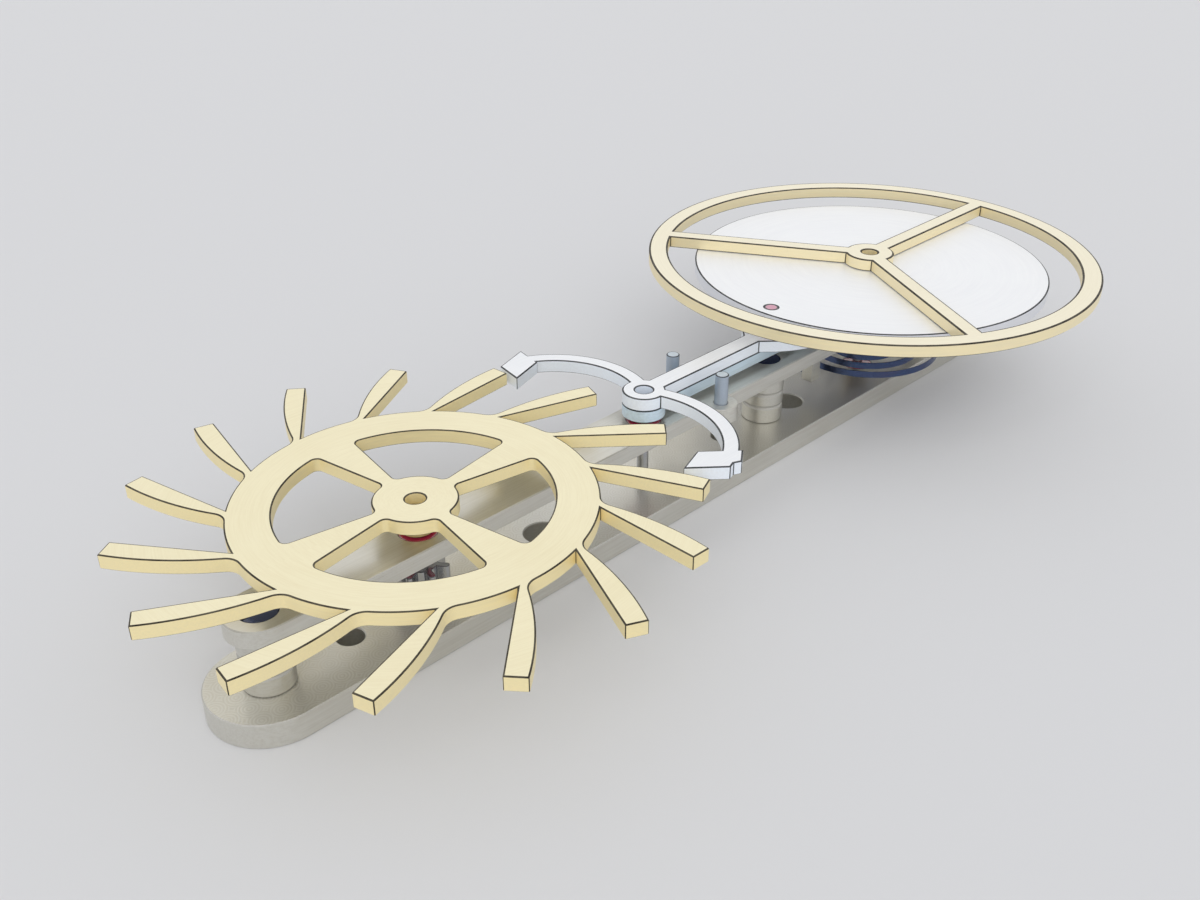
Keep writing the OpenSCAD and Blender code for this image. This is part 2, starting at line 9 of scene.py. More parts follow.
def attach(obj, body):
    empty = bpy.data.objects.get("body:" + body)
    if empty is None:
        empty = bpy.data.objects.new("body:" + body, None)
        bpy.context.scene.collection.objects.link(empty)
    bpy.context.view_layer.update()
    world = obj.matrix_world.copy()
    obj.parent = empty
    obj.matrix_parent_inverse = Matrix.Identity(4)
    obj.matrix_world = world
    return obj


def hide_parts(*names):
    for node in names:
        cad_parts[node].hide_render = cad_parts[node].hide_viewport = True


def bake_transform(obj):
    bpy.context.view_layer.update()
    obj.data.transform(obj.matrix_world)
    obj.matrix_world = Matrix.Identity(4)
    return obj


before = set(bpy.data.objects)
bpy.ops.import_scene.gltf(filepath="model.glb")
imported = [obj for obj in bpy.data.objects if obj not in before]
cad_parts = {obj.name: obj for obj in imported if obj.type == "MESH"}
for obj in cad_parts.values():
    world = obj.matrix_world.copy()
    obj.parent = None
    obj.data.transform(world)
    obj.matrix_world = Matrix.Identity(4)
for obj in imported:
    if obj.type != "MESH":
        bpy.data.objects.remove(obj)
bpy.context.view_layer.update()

# Lower plate: a long strip of nickel silver that carries everything else. It is milled to its
# outline, drilled and tapped, given seats for the lower jewels, and spotted all over with
# small circles by a turning peg.
MM = 0.001
AXES = {"escape": Vector((-5.7735, 0)), "pallet": Vector((0, 0)), "balance": Vector((7.81, 0))}
PILLARS = [Vector((-8.9735, 0)), Vector((4, 0)), Vector((10.71, 0))]
JEWEL_R = 0.36
PLATE_T, PLATE_HALF_W, SEAT_DEPTH = 0.5, 1.1, 0.3
RIVET_R, TAP_R, STEADY_R = 0.25, 0.375, 0.25
TAP_X, STEADY_X = (-2.85, 4.95), (-7.3735, 2.6)
ARC_STEP, ARC_STRAY = 7.5, 0.0006
SAME_POINT = 0.0005
SHARP_EDGE, SMOOTH_EDGE = 28, 22


def steps_round(radius, angle):
    """How many straight steps an arc takes, so that none strays far from the round."""
    step = min(radians(ARC_STEP), 2 * acos(1 - ARC_STRAY / radius))
    return max(2, ceil(abs(angle) / step))


def draw(bm, z, start, *moves):
    """Draws an outline, which closes where it comes back to its start, and gives its edges.
    A move is a point to go straight to, or a point, a centre and a turn to swing round:
    1 is anticlockwise and -1 clockwise."""
    before = set(bm.edges)
    first = corner = bm.verts.new((start[0], start[1], z))
    for goal, *swing in moves:
        if swing:
            centre, turn = Vector(swing[0]), swing[1]
            leave, arrive = corner.co.xy - centre, Vector(goal) - centre
            raw = atan2(arrive.y, arrive.x) - atan2(leave.y, leave.x)
            angle = raw * turn % (2 * pi) * turn
            swung = bmesh.ops.spin(bm, geom=[corner], cent=(*centre, z), axis=(0, 0, 1),
                                   angle=angle, steps=steps_round(leave.length, angle))
            corner = swung["geom_last"][0]
        else:
            following = bm.verts.new((goal[0], goal[1], z))
            bm.edges.new((corner, following))
            corner = following
    if (corner.co - first.co).length < SAME_POINT:
        bmesh.ops.pointmerge(bm, verts=[first, corner], merge_co=first.co)
    return [edge for edge in bm.edges if edge not in before]


def ring(bm, z, centre, radius):
    """Draws a circle and gives its edges."""
    before = set(bm.edges)
    bmesh.ops.create_circle(bm, cap_ends=False, radius=radius,
                            segments=steps_round(radius, 2 * pi),
                            matrix=Matrix.Translation((centre[0], centre[1], z)))
    return [edge for edge in bm.edges if edge not in before]


def sheet(bm, *outlines):
    """Fills the first outline round the others, which stay open."""
    edges = [edge for outline in outlines for edge in outline]
    made = bmesh.ops.triangle_fill(bm, use_beauty=True, use_dissolve=True, edges=edges,
                                   normal=(0, 0, 1))
    return [item for item in made["geom"] if isinstance(item, bmesh.types.BMFace)]


def push(bm, faces, depth):
    """Pushes faces up by a depth, or down where it is negative, and gives the moved faces.
    Their edges go with them, so that nothing is left behind inside a solid."""
    edges = list(dict.fromkeys(edge for face in faces for edge in face.edges))
    made = bmesh.ops.extrude_face_region(bm, geom=faces + edges)["geom"]
    bmesh.ops.translate(bm, vec=(0, 0, depth),
                        verts=[item for item in made if isinstance(item, bmesh.types.BMVert)])
    return [item for item in made if isinstance(item, bmesh.types.BMFace)]


def finish_piece(bm, name, node, body, material, edge_w=0.02, line_w=0.0):
    """Breaks the sharp edges, marks them and the upright walls for the finish, and puts the
    piece in the place of its CAD node, on its body. With a line_w, the line on the edges runs
    on by so much over the flat top."""
    bmesh.ops.recalc_face_normals(bm, faces=bm.faces)
    marks = bm.faces.layers.float.new("edge")
    upright = bm.faces.layers.float.new("wall")
    if edge_w:
        sharp = [edge for edge in bm.edges
                 if edge.is_manifold and edge.calc_face_angle() > radians(SHARP_EDGE)]
        broken = bmesh.ops.bevel(bm, geom=sharp, offset=edge_w, offset_type="OFFSET",
                                 segments=1, profile=0.5, affect="EDGES", material=-1)
        for face in broken["faces"]:
            face[marks] = 1.0
    if line_w:
        top = [face for face in bm.faces if face.normal.z > 0.99]
        beside = bmesh.ops.inset_region(bm, faces=top, thickness=line_w, use_even_offset=True)
        for face in beside["faces"]:
            face[marks] = 1.0
    for face in bm.faces:
        face.smooth = True
        face[upright] = 1.0 if abs(face.normal.z) < 0.5 else 0.0
    for edge in bm.edges:
        edge.smooth = edge.is_manifold and edge.calc_face_angle() < radians(SMOOTH_EDGE)
    bmesh.ops.scale(bm, vec=(MM, MM, MM), verts=bm.verts)
    mesh = bpy.data.meshes.new(name)
    bm.to_mesh(mesh)
    bm.free()
    mesh.materials.append(material)
    piece = bpy.data.objects.new(name, mesh)
    bpy.context.scene.collection.objects.link(piece)
    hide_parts(node)
    if body:
        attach(piece, body)
    return piece


def add(tree, kind, inputs, **settings):
    """Adds a node. Each input is a value, or another node's output to link from."""
    node = tree.nodes.new(kind)
    for name, value in settings.items():
        setattr(node, name, value)
    for key, source in inputs.items():
        if isinstance(source, bpy.types.NodeSocket):
            tree.links.new(source, node.inputs[key])
        else:
            node.inputs[key].default_value = source
    return node


def new_group(name, inputs, outputs):
    """Starts a node group with named inputs and outputs, and gives its two end nodes."""
    tree = bpy.data.node_groups.new(name, "ShaderNodeTree")
    for label, kind, value in inputs:
        socket = tree.interface.new_socket(label, in_out="INPUT", socket_type=kind)
        socket.default_value = value
    for label, kind in outputs:
        tree.interface.new_socket(label, in_out="OUTPUT", socket_type=kind)
    return tree, tree.nodes.new("NodeGroupInput").outputs, tree.nodes.new("NodeGroupOutput").inputs


def times(tree, first, second, **settings):
    """One value times another."""
    return add(tree, "ShaderNodeMath", {0: first, 1: second}, operation="MULTIPLY",
               **settings).outputs[0]


def remap(tree, value, low, high, new_low=0.0, new_high=1.0):
    """A value, stretched from one range to another."""
    return add(tree, "ShaderNodeMapRange",
               {"Value": value, "From Min": low, "From Max": high, "To Min": new_low,
                "To Max": new_high}).outputs["Result"]


def blend_colours(tree, share, first, second):
    """The first colour, with a share of the second."""
    return add(tree, "ShaderNodeMix", {0: share, 6: first, 7: second},
               data_type="RGBA").outputs[2]


def noise(tree, place, scale, detail, roughness):
    """Cloudy noise from 0 to 1."""
    return add(tree, "ShaderNodeTexNoise",
               {"Vector": place, "Scale": scale, "Detail": detail,
                "Roughness": roughness}).outputs["Fac"]


FLOAT, COLOUR, VECTOR = "NodeSocketFloat", "NodeSocketColor", "NodeSocketVector"

# Edges keep a dark line of oxide where they are broken, a little worn through in places
edge_line, given, out = new_group(
    "edge_line",
    [("Place", VECTOR, (0, 0, 0)), ("Colour", COLOUR, (1, 1, 1, 1)),
     ("Line Colour", COLOUR, (0, 0, 0, 1)), ("Strength", FLOAT, 1.0)],
    [("Colour", COLOUR), ("Line", FLOAT)])
broken = add(edge_line, "ShaderNodeAttribute", {}, attribute_name="edge").outputs["Fac"]
rubbed = noise(edge_line, given["Place"], 3.0, 4.0, 0.6)
shown = times(edge_line, broken, remap(edge_line, rubbed, 0.36, 0.58, 1.0, 0.94))
line = times(edge_line, shown, given["Strength"], use_clamp=True)
lined = blend_colours(edge_line, line, given["Colour"], given["Line Colour"])
edge_line.links.new(lined, out["Colour"])
edge_line.links.new(line, out["Line"])

# Metal isn't one even colour: slow drifts of tarnish, fine specks, and darker grooves
tarnish, given, out = new_group(
    "tarnish",
    [("Place", VECTOR, (0, 0, 0)), ("Colour", COLOUR, (1, 1, 1, 1)),
     ("Tarnish Colour", COLOUR, (0, 0, 0, 1)), ("Amount", FLOAT, 0.3), ("Specks", FLOAT, 0.3),
     ("Grain", FLOAT, 0.5), ("Grooves", FLOAT, 0.3)],
    [("Colour", COLOUR)])
drift = remap(tarnish, noise(tarnish, given["Place"], 0.55, 3.0, 0.55), 0.35, 0.7)
speck = remap(tarnish, noise(tarnish, given["Place"], 14.0, 2.0, 0.7), 0.62, 0.78)
groove = remap(tarnish, given["Grain"], 0.62, 0.34)
two_parts = add(tarnish, "ShaderNodeMath",
                {0: times(tarnish, drift, given["Amount"]),
                 1: times(tarnish, speck, given["Specks"])}, operation="ADD")
share = add(tarnish, "ShaderNodeMath",
            {0: two_parts.outputs[0], 1: times(tarnish, groove, given["Grooves"])},
            operation="ADD", use_clamp=True)
toned = blend_colours(tarnish, share.outputs[0], given["Colour"], given["Tarnish Colour"])
tarnish.links.new(toned, out["Colour"])

# Grain from a straight stroke, along X of the place that it is given
straight_grain, given, out = new_group(
    "straight_grain", [("Place", VECTOR, (0, 0, 0)), ("Lines per mm", FLOAT, 20.0)],
    [("Grain", FLOAT)])
drawn_out = add(straight_grain, "ShaderNodeVectorMath",
                {0: given["Place"], 1: (0.03, 1.0, 1.0)}, operation="MULTIPLY")
stroke = noise(straight_grain, drawn_out.outputs[0], given["Lines per mm"], 3.0, 0.65)
straight_grain.links.new(stroke, out["Grain"])

# Spots in rows, each a set of small rings left by the end of a turning peg
RINGS_IN_SPOT = 44.0
spotting, given, out = new_group(
    "spotting", [("Place", VECTOR, (0, 0, 0)), ("Spots per mm", FLOAT, 2.6)], [("Grain", FLOAT)])
spots = add(spotting, "ShaderNodeTexVoronoi",
            {"Vector": given["Place"], "Scale": given["Spots per mm"], "Randomness": 0.08},
            voronoi_dimensions="2D")
waves = add(spotting, "ShaderNodeMath",
            {0: times(spotting, spots.outputs["Distance"], RINGS_IN_SPOT)}, operation="SINE")
raised = remap(spotting, waves.outputs[0], -1.0, 1.0, 0.3, 0.7)
milled = add(spotting, "ShaderNodeGroup", {"Place": given["Place"]}, node_tree=straight_grain)
on_wall = add(spotting, "ShaderNodeAttribute", {}, attribute_name="wall").outputs["Fac"]
either = add(spotting, "ShaderNodeMix", {0: on_wall, 2: raised, 3: milled.outputs["Grain"]},
             data_type="FLOAT")
spotting.links.new(either.outputs[0], out["Grain"])

MATT_LINE, RELIEF, COAT_ROUGHNESS = 0.7, 0.6, 0.12


def start_finish(name, centre=(0, 0)):
    """Starts a material, and gives its tree, its shader and each point's place, which is in
    millimetres from a centre."""
    material = bpy.data.materials.new(name)
    material.use_nodes = True
    tree = material.node_tree
    points = add(tree, "ShaderNodeTexCoord", {}).outputs["Object"]
    place = add(tree, "ShaderNodeMapping",
                {"Vector": points, "Scale": (1 / MM, 1 / MM, 1 / MM),
                 "Location": (-centre[0], -centre[1], 0)}).outputs["Vector"]
    return material, tree, tree.nodes["Principled BSDF"], place


def metal(name, colour, tarnish_colour, line_colour, grain, lines, depth, centre=(0, 0),
          painted_wall_shading=None, metallic=0.5, roughness=(0.34, 0.5), amount=0.35, specks=0.25,
          strength=1.0, coat=0.0):
    """A metal finish: its colour, with painted light and shade on the upright walls where a
    second colour is given for them, its tarnish, the line on its edges, and the grain, which is
    one of the grain groups, with its lines per millimetre and its depth in millimetres."""
    material, tree, shader, place = start_finish(name, centre)
    wall = add(tree, "ShaderNodeAttribute", {}, attribute_name="wall").outputs["Fac"]
    # The upright walls take the second colour where one is given: painted light and shade on the
    # sides.
    ground = blend_colours(tree, wall, (*colour, 1), (*(painted_wall_shading or colour), 1))
    marks = add(tree, "ShaderNodeGroup", {"Place": place, 1: lines},
                node_tree=grain).outputs["Grain"]
    tones = add(tree, "ShaderNodeGroup",
                {"Place": place, "Colour": ground, "Grain": marks, "Amount": amount,
                 "Specks": specks, "Tarnish Colour": (*tarnish_colour, 1)}, node_tree=tarnish)
    lines_on = add(tree, "ShaderNodeGroup",
                   {"Place": place, "Colour": tones.outputs["Colour"], "Strength": strength,
                    "Line Colour": (*line_colour, 1)}, node_tree=edge_line).outputs
    tree.links.new(lines_on["Colour"], shader.inputs["Base Color"])
    dull = add(tree, "ShaderNodeMath",
               {0: remap(tree, marks, 0.3, 0.7, *roughness),
                1: times(tree, lines_on["Line"], MATT_LINE)}, operation="MAXIMUM")
    tree.links.new(dull.outputs[0], shader.inputs["Roughness"])
    bare = remap(tree, lines_on["Line"], 0.0, 1.0, metallic, 0.0)
    tree.links.new(bare, shader.inputs["Metallic"])
    relief = add(tree, "ShaderNodeBump",
                 {"Height": marks, "Strength": RELIEF, "Distance": depth * MM})
    tree.links.new(relief.outputs["Normal"], shader.inputs["Normal"])
    if coat:
        shader.inputs["Coat Weight"].default_value = coat
        shader.inputs["Coat Roughness"].default_value = COAT_ROUGHNESS
    return material


plate = bmesh.new()
outline = draw(plate, PLATE_T, (PILLARS[0].x, -PLATE_HALF_W),
               ((PILLARS[2].x, -PLATE_HALF_W),),
               ((PILLARS[2].x, PLATE_HALF_W), PILLARS[2], 1),
               ((PILLARS[0].x, PLATE_HALF_W),),
               ((PILLARS[0].x, -PLATE_HALF_W), PILLARS[0], 1))
through = [ring(plate, PLATE_T, place, RIVET_R) for place in PILLARS]
through += [ring(plate, PLATE_T, (x, 0), TAP_R) for x in TAP_X]
through += [ring(plate, PLATE_T, (x, 0), STEADY_R) for x in STEADY_X]
through += [ring(plate, PLATE_T, AXES["balance"], JEWEL_R)]
blind = [ring(plate, PLATE_T, AXES[name], JEWEL_R) for name in ("escape", "pallet")]
strip = sheet(plate, outline, *through, *blind)
seats = [face for seat in blind for face in sheet(plate, seat)]
push(plate, strip + seats, -PLATE_T)
push(plate, seats, -SEAT_DEPTH)
NICKEL_SILVER = {"metallic": 0.85, "roughness": (0.28, 0.42), "amount": 0.2, "strength": 0.6}
spotted_nickel = metal("spotted_nickel_silver", (0.70, 0.69, 0.64), (0.50, 0.47, 0.40),
                       (0.34, 0.33, 0.31), spotting, 2.6, 0.004, specks=0.12, **NICKEL_SILVER)
finish_piece(plate, "lower_plate", "main_plate", "carrier", spotted_nickel)

# Pillars: three turned posts of nickel silver. The lower end of each is riveted through the
# plate, and its top is tapped for a bar screw. Two fine grooves are turned round the middle.
pillars = bmesh.new()
PILLAR_R, PILLAR_TOP, GROOVE, LOW_GROOVE_Z, TOP_GROOVE_Z = 0.45, 1.6, 0.03, 0.86, 1.18
SCREW_R, TAPPED_Z = 0.2, 1.0


def turn(bm, axis, *profile, closed=False):
    """Turns a solid round an axis from its half outline of radii and heights. A closed half
    outline leaves a hole through the middle."""
    points = [bm.verts.new((axis[0] + radius, axis[1], z)) for radius, z in profile]
    pairs = list(zip(points, points[1:])) + ([(points[-1], points[0])] if closed else [])
    half = [bm.edges.new(pair) for pair in pairs]
    largest = max(radius for radius, z in profile)
    bmesh.ops.spin(bm, geom=points + half, cent=(axis[0], axis[1], 0), axis=(0, 0, 1),
                   angle=2 * pi, steps=steps_round(largest, 2 * pi), use_merge=True)
    bmesh.ops.remove_doubles(bm, verts=bm.verts, dist=SAME_POINT)


grooves = [point for z in (LOW_GROOVE_Z, TOP_GROOVE_Z)
           for point in ((PILLAR_R, z), (PILLAR_R - GROOVE, z + GROOVE), (PILLAR_R, z + 2 * GROOVE))]
for place in PILLARS:
    turn(pillars, place, (0, 0), (RIVET_R, 0), (RIVET_R, PLATE_T), (PILLAR_R, PLATE_T), *grooves,
         (PILLAR_R, PILLAR_TOP), (SCREW_R, PILLAR_TOP), (SCREW_R, TAPPED_Z), (0, TAPPED_Z))

# Grain from turning, in rings round Z of the place that it is given
turned_grain, given, out = new_group(
    "turned_grain", [("Place", VECTOR, (0, 0, 0)), ("Lines per mm", FLOAT, 20.0)],
    [("Grain", FLOAT)])
flat = add(turned_grain, "ShaderNodeVectorMath", {0: given["Place"], 1: (1.0, 1.0, 0.0)},
           operation="MULTIPLY")
from_axis = add(turned_grain, "ShaderNodeVectorMath", {0: flat.outputs[0]}, operation="LENGTH")
parts = add(turned_grain, "ShaderNodeSeparateXYZ", {0: given["Place"]}).outputs
round_angle = add(turned_grain, "ShaderNodeMath", {0: parts["Y"], 1: parts["X"]},
                  operation="ARCTAN2")
swept = add(turned_grain, "ShaderNodeCombineXYZ",
            {0: from_axis.outputs["Value"], 1: times(turned_grain, round_angle.outputs[0], 0.12),
             2: parts["Z"]})
rings = noise(turned_grain, swept.outputs[0], given["Lines per mm"], 3.0, 0.65)
turned_grain.links.new(rings, out["Grain"])

turned_nickel = metal("turned_nickel_silver", (0.68, 0.67, 0.62), (0.48, 0.45, 0.38),
                      (0.30, 0.29, 0.27), turned_grain, 30.0, 0.004, centre=PILLARS[0],
                      **NICKEL_SILVER)
finish_piece(pillars, "turned_pillars", "pillars", "carrier", turned_nickel)

# Upper bar: a straight bar of nickel silver over the pillars, with two ears for the banking
# pins. It is drilled for jewels and stud, counterbored for its screws, and grained lengthwise.
BAR_Z, BAR_TOP, BAR_HALF_W = PILLAR_TOP, 1.95, 0.6
BANKING = Vector((1.635, 0.6795))
EAR_R, PIN_R, HEAD_R, SINK = 0.36, 0.14, 0.34, 0.18
STUD, MID_Z = Vector((5.605, 0)), (BAR_Z + BAR_TOP) / 2
SHANK_R, STUD_SCREW_R, STUD_SCREW_STEPS = 0.14, 0.1, 40


def below(point):
    """The same point on the other side of the line of centres."""
    return Vector((point.x, -point.y))


def rod(bm, radius, length, steps, middle, tilt=0):
    """Makes a round rod about its middle. It stands up, or is tilted round X by an angle."""
    bmesh.ops.create_cone(bm, cap_ends=True, segments=steps, radius1=radius, radius2=radius,
                          depth=length, matrix=Matrix.Translation(middle)
                          @ Matrix.Rotation(radians(tilt), 4, "X"))


def combine(bm, tool, operation):
    """Cuts a tool out of a solid (DIFFERENCE), or joins it on (UNION)."""
    blanks = []
    for part in (bm, tool):
        bmesh.ops.recalc_face_normals(part, faces=part.faces)
        mesh = bpy.data.meshes.new("blank")
        part.to_mesh(mesh)
        part.free()
        blanks.append(bpy.data.objects.new("blank", mesh))
        bpy.context.scene.collection.objects.link(blanks[-1])
    step = blanks[0].modifiers.new("step", "BOOLEAN")
    step.object, step.operation, step.solver = blanks[1], operation, "EXACT"
    result = bmesh.new()
    result.from_object(blanks[0], bpy.context.evaluated_depsgraph_get())
    for blank in blanks:
        mesh = blank.data
        bpy.data.objects.remove(blank)
        bpy.data.meshes.remove(mesh)
    return result


bar = bmesh.new()
first_ear, second_ear = BANKING, below(BANKING)
ear_left, ear_right = BANKING.x - EAR_R, BANKING.x + EAR_R
outline = draw(bar, BAR_TOP, (PILLARS[0].x, -BAR_HALF_W),
               ((ear_left, -BAR_HALF_W),), ((ear_left, -BANKING.y),),
               ((ear_right, -BANKING.y), second_ear, 1),
               ((ear_right, -BAR_HALF_W),), ((PILLARS[2].x, -BAR_HALF_W),),
               ((PILLARS[2].x, BAR_HALF_W), PILLARS[2], 1),
               ((ear_right, BAR_HALF_W),), ((ear_right, BANKING.y),),
               ((ear_left, BANKING.y), first_ear, 1),
               ((ear_left, BAR_HALF_W),), ((PILLARS[0].x, BAR_HALF_W),),
               ((PILLARS[0].x, -BAR_HALF_W), PILLARS[0], 1))
holes = [ring(bar, BAR_TOP, axis, JEWEL_R) for axis in AXES.values()]
holes += [ring(bar, BAR_TOP, ear, PIN_R) for ear in (first_ear, second_ear)]
holes += [ring(bar, BAR_TOP, STUD, SHANK_R)]
heads = [ring(bar, BAR_TOP, place, HEAD_R) for place in PILLARS]
top = sheet(bar, outline, *holes, *heads)
recesses = [face for head in heads for face in sheet(bar, head)]
push(bar, top + recesses, BAR_Z - BAR_TOP)
push(bar, recesses, -SINK)
drills = bmesh.new()
rod(drills, STUD_SCREW_R, BAR_HALF_W, STUD_SCREW_STEPS, (STUD.x, BAR_HALF_W, MID_Z), 90)
for place in PILLARS:
    rod(drills, SCREW_R, SINK * 2, steps_round(SCREW_R, 2 * pi), (*place, BAR_Z))
bar = combine(bar, drills, "DIFFERENCE")
grained_nickel = metal("grained_nickel_silver", (0.72, 0.71, 0.66), (0.52, 0.49, 0.42),
                       (0.34, 0.33, 0.31), straight_grain, 26.0, 0.004, **NICKEL_SILVER)
finish_piece(bar, "top_bar", "upper_bar", "carrier", grained_nickel)

# Bar screws: three slotted screws of blued steel. Their heads are polished and then heated to
# blue, and they lie just under the top of the bar.
SCREW_END, LEAD_W, LEAD_H = 1.02, 0.03, 0.04
HEAD_Z, HEAD_TOP, SLOT_W, SLOT_DEPTH, SAW_L = BAR_TOP - SINK, 1.93, 0.08, 0.08, 1.0


def brick(bm, middle, size):
    """Makes a block about its middle."""
    bmesh.ops.create_cube(bm, size=1, matrix=Matrix.Translation(middle)
                          @ Matrix.Diagonal((*size, 1)))


screws = bmesh.new()
slots = bmesh.new()
for place in PILLARS:
    turn(screws, place, (0, SCREW_END), (SCREW_R - LEAD_W, SCREW_END),
         (SCREW_R, SCREW_END + LEAD_H), (SCREW_R, HEAD_Z), (HEAD_R, HEAD_Z), (HEAD_R, HEAD_TOP),
         (0, HEAD_TOP))
    brick(slots, (*place, HEAD_TOP), (SAW_L, SLOT_W, 2 * SLOT_DEPTH))
screws = combine(screws, slots, "DIFFERENCE")
blue = metal("blued_steel", (0.06, 0.10, 0.25), (0.10, 0.08, 0.19), (0.02, 0.025, 0.05),
             turned_grain, 30.0, 0.002, centre=PILLARS[0], metallic=1.0,
             roughness=(0.16, 0.26), coat=0.4)
finish_piece(screws, "bar_screw_set", "bar_screws", "carrier", blue)

# Banking pins: two plain steel pins, driven into the ears of the bar. The lever swings
# between them, and their flat tops are just broken at the edge.
PIN_TOP = 2.60
pins = bmesh.new()
for ear in (first_ear, second_ear):
    turn(pins, ear, (0, BAR_Z), (PIN_R, BAR_Z), (PIN_R, PIN_TOP), (0, PIN_TOP))
# The pins' walls are painted darker than their tops, as shade.
pin_steel = metal("banking_pin_steel", (0.62, 0.70, 0.78), (0.45, 0.51, 0.58),
                  (0.02, 0.024, 0.03), turned_grain, 30.0, 0.003, centre=BANKING,
                  painted_wall_shading=(0.38, 0.44, 0.52), roughness=(0.3, 0.42))
finish_piece(pins, "banking_pin_pair", "banking_pins", "carrier", pin_steel,
             edge_w=0.012, line_w=0.012)

# Hole jewels: six rings of ruby with a polished hole and a dished oil sink, pressed flush into
# their seats. The journals run in the upper three and the pivots in the lower three.
UPPER_HOLE, LOWER_HOLE = 0.135, 0.095
UPPER_SINK = [(0.24, 0), (0.20, 0.05), (0.165, 0.085), (UPPER_HOLE, 0.1)]
LOWER_SINK = [(0.225, 0), (0.18, 0.05), (0.13, 0.085), (LOWER_HOLE, 0.1)]


def ruby(name, colour, depth_colour, line_colour, transmission, coat=1.0):
    """Clear corundum: a deeper tone inside, faint growth lines, and a polished skin."""
    material, tree, shader, place = start_finish(name)
    tones = add(tree, "ShaderNodeGroup",
                {"Place": place, "Colour": (*colour, 1), "Tarnish Colour": (*depth_colour, 1),
                 "Amount": 0.6, "Specks": 0.2, "Grooves": 0}, node_tree=tarnish)
    lines_on = add(tree, "ShaderNodeGroup",
                   {"Place": place, "Colour": tones.outputs["Colour"],
                    "Line Colour": (*line_colour, 1)}, node_tree=edge_line)
    tree.links.new(lines_on.outputs["Colour"], shader.inputs["Base Color"])
    skin = add(tree, "ShaderNodeGroup", {"Place": place, "Lines per mm": 9.0},
               node_tree=straight_grain).outputs["Grain"]
    tree.links.new(remap(tree, skin, 0.0, 1.0, 0.06, 0.2), shader.inputs["Roughness"])
    relief = add(tree, "ShaderNodeBump",
                 {"Height": skin, "Strength": 0.3, "Distance": 0.001 * MM})
    tree.links.new(relief.outputs["Normal"], shader.inputs["Normal"])
    shader.inputs["IOR"].default_value = 1.77
    shader.inputs["Transmission Weight"].default_value = transmission
    shader.inputs["Coat Weight"].default_value = coat
    shader.inputs["Coat Roughness"].default_value = 0.05
    return material


clear_ruby = ruby("clear_ruby", (0.74, 0.05, 0.13), (0.46, 0.02, 0.07), (0.33, 0.02, 0.06), 0.3)
seat_floor = PLATE_T - SEAT_DEPTH
for name, axis in AXES.items():
    upper = bmesh.new()
    turn(upper, axis, (UPPER_HOLE, BAR_Z), (JEWEL_R, BAR_Z), (JEWEL_R, BAR_TOP),
         *[(radius, BAR_TOP - depth) for radius, depth in UPPER_SINK], closed=True)
    finish_piece(upper, f"{name}_upper_ruby", f"{name}_upper_jewel", "carrier",
                 clear_ruby, edge_w=0.012)
    lower = bmesh.new()
    turn(lower, axis, (LOWER_HOLE, PLATE_T),
         *[(radius, seat_floor + depth) for radius, depth in reversed(LOWER_SINK)],
         (JEWEL_R, seat_floor), (JEWEL_R, PLATE_T), closed=True)
    finish_piece(lower, f"{name}_lower_ruby", f"{name}_lower_jewel", "carrier",
                 clear_ruby, edge_w=0.012)

# Endstone: a disc of the same ruby under the balance's lower jewel, which carries the end of
# the staff. It is rounded underneath and sits a little inside the plate.
ENDSTONE_CROWN, ENDSTONE_TOP = [(0, 0.02), (0.25, 0.023), (0.32, 0.035), (JEWEL_R, 0.055)], 0.15
endstone = bmesh.new()
turn(endstone, AXES["balance"], *ENDSTONE_CROWN, (JEWEL_R, ENDSTONE_TOP), (0, ENDSTONE_TOP))
finish_piece(endstone, "balance_end_ruby", "balance_endstone", "carrier", clear_ruby,
             edge_w=0.012)

# Escape wheel: sawn and milled from one sheet of pale gilt brass. Each of its fifteen teeth
# leans forward, with a straight leading face, a wide flat tip and a back on one long curve
# that ends in a small round at the rim. Four wedge-shaped spokes are left between the windows.
WHEEL_Z, SHEET_T, BORE_R = 2.33, 0.27, 0.18
TOOTH_R, HEEL_R, HEEL_ANGLE, UNDERCUT = 5.0, 5.177, 3.8, 24.0
FOOT_W, BACK_R, FILLET_R = 0.165, 5.32, 0.3
RIM_R, RIM_IN_R, HUB_R, SPOKE_HALF, WINDOW_R = 3.2, 2.425, 0.755, 9.75, 0.12
TEETH, FIRST_TOOTH, SPOKES = 15, 30.1, 4
wheel_axis = AXES["escape"]


def polar(radius, angle):
    """The point at a radius and an angle in degrees."""
    return Vector((radius * cos(radians(angle)), radius * sin(radians(angle))))


def index_round(bm, count):
    """Repeats what is drawn round the Z axis, as a dividing head does."""
    bmesh.ops.spin(bm, geom=bm.verts[:] + bm.edges[:], cent=(0, 0, 0), axis=(0, 0, 1),
                   angle=2 * pi * (count - 1) / count, steps=count - 1, use_duplicate=True)
    bmesh.ops.remove_doubles(bm, verts=bm.verts, dist=SAME_POINT)


def nearest(points, place):
    """The one of two crossings that lies nearer to a place."""
    return min((Vector(point) for point in points), key=lambda point: (point - place).length)


lead = Vector((TOOTH_R, 0))
heel = polar(HEEL_R, HEEL_ANGLE)
lean = polar(1, 180 - UNDERCUT)
foot = nearest(intersect_line_sphere_2d(lead, lead + lean, Vector((0, 0)), RIM_R, False), lead)
back_foot = polar(RIM_R, degrees(atan2(foot.y, foot.x) + FOOT_W / RIM_R))
half_way = (back_foot - heel) / 2
back_centre = (heel + half_way + Vector((-half_way.y, half_way.x)).normalized()
               * sqrt(BACK_R ** 2 - half_way.length_squared))
fillet_centre = nearest(
    intersect_sphere_sphere_2d(Vector((0, 0)), RIM_R + FILLET_R, back_centre, BACK_R + FILLET_R),
    back_foot)
on_back = back_centre + (fillet_centre - back_centre) * BACK_R / (BACK_R + FILLET_R)
on_rim = fillet_centre * RIM_R / (RIM_R + FILLET_R)
next_foot = Matrix.Rotation(radians(360 / TEETH), 2) @ foot
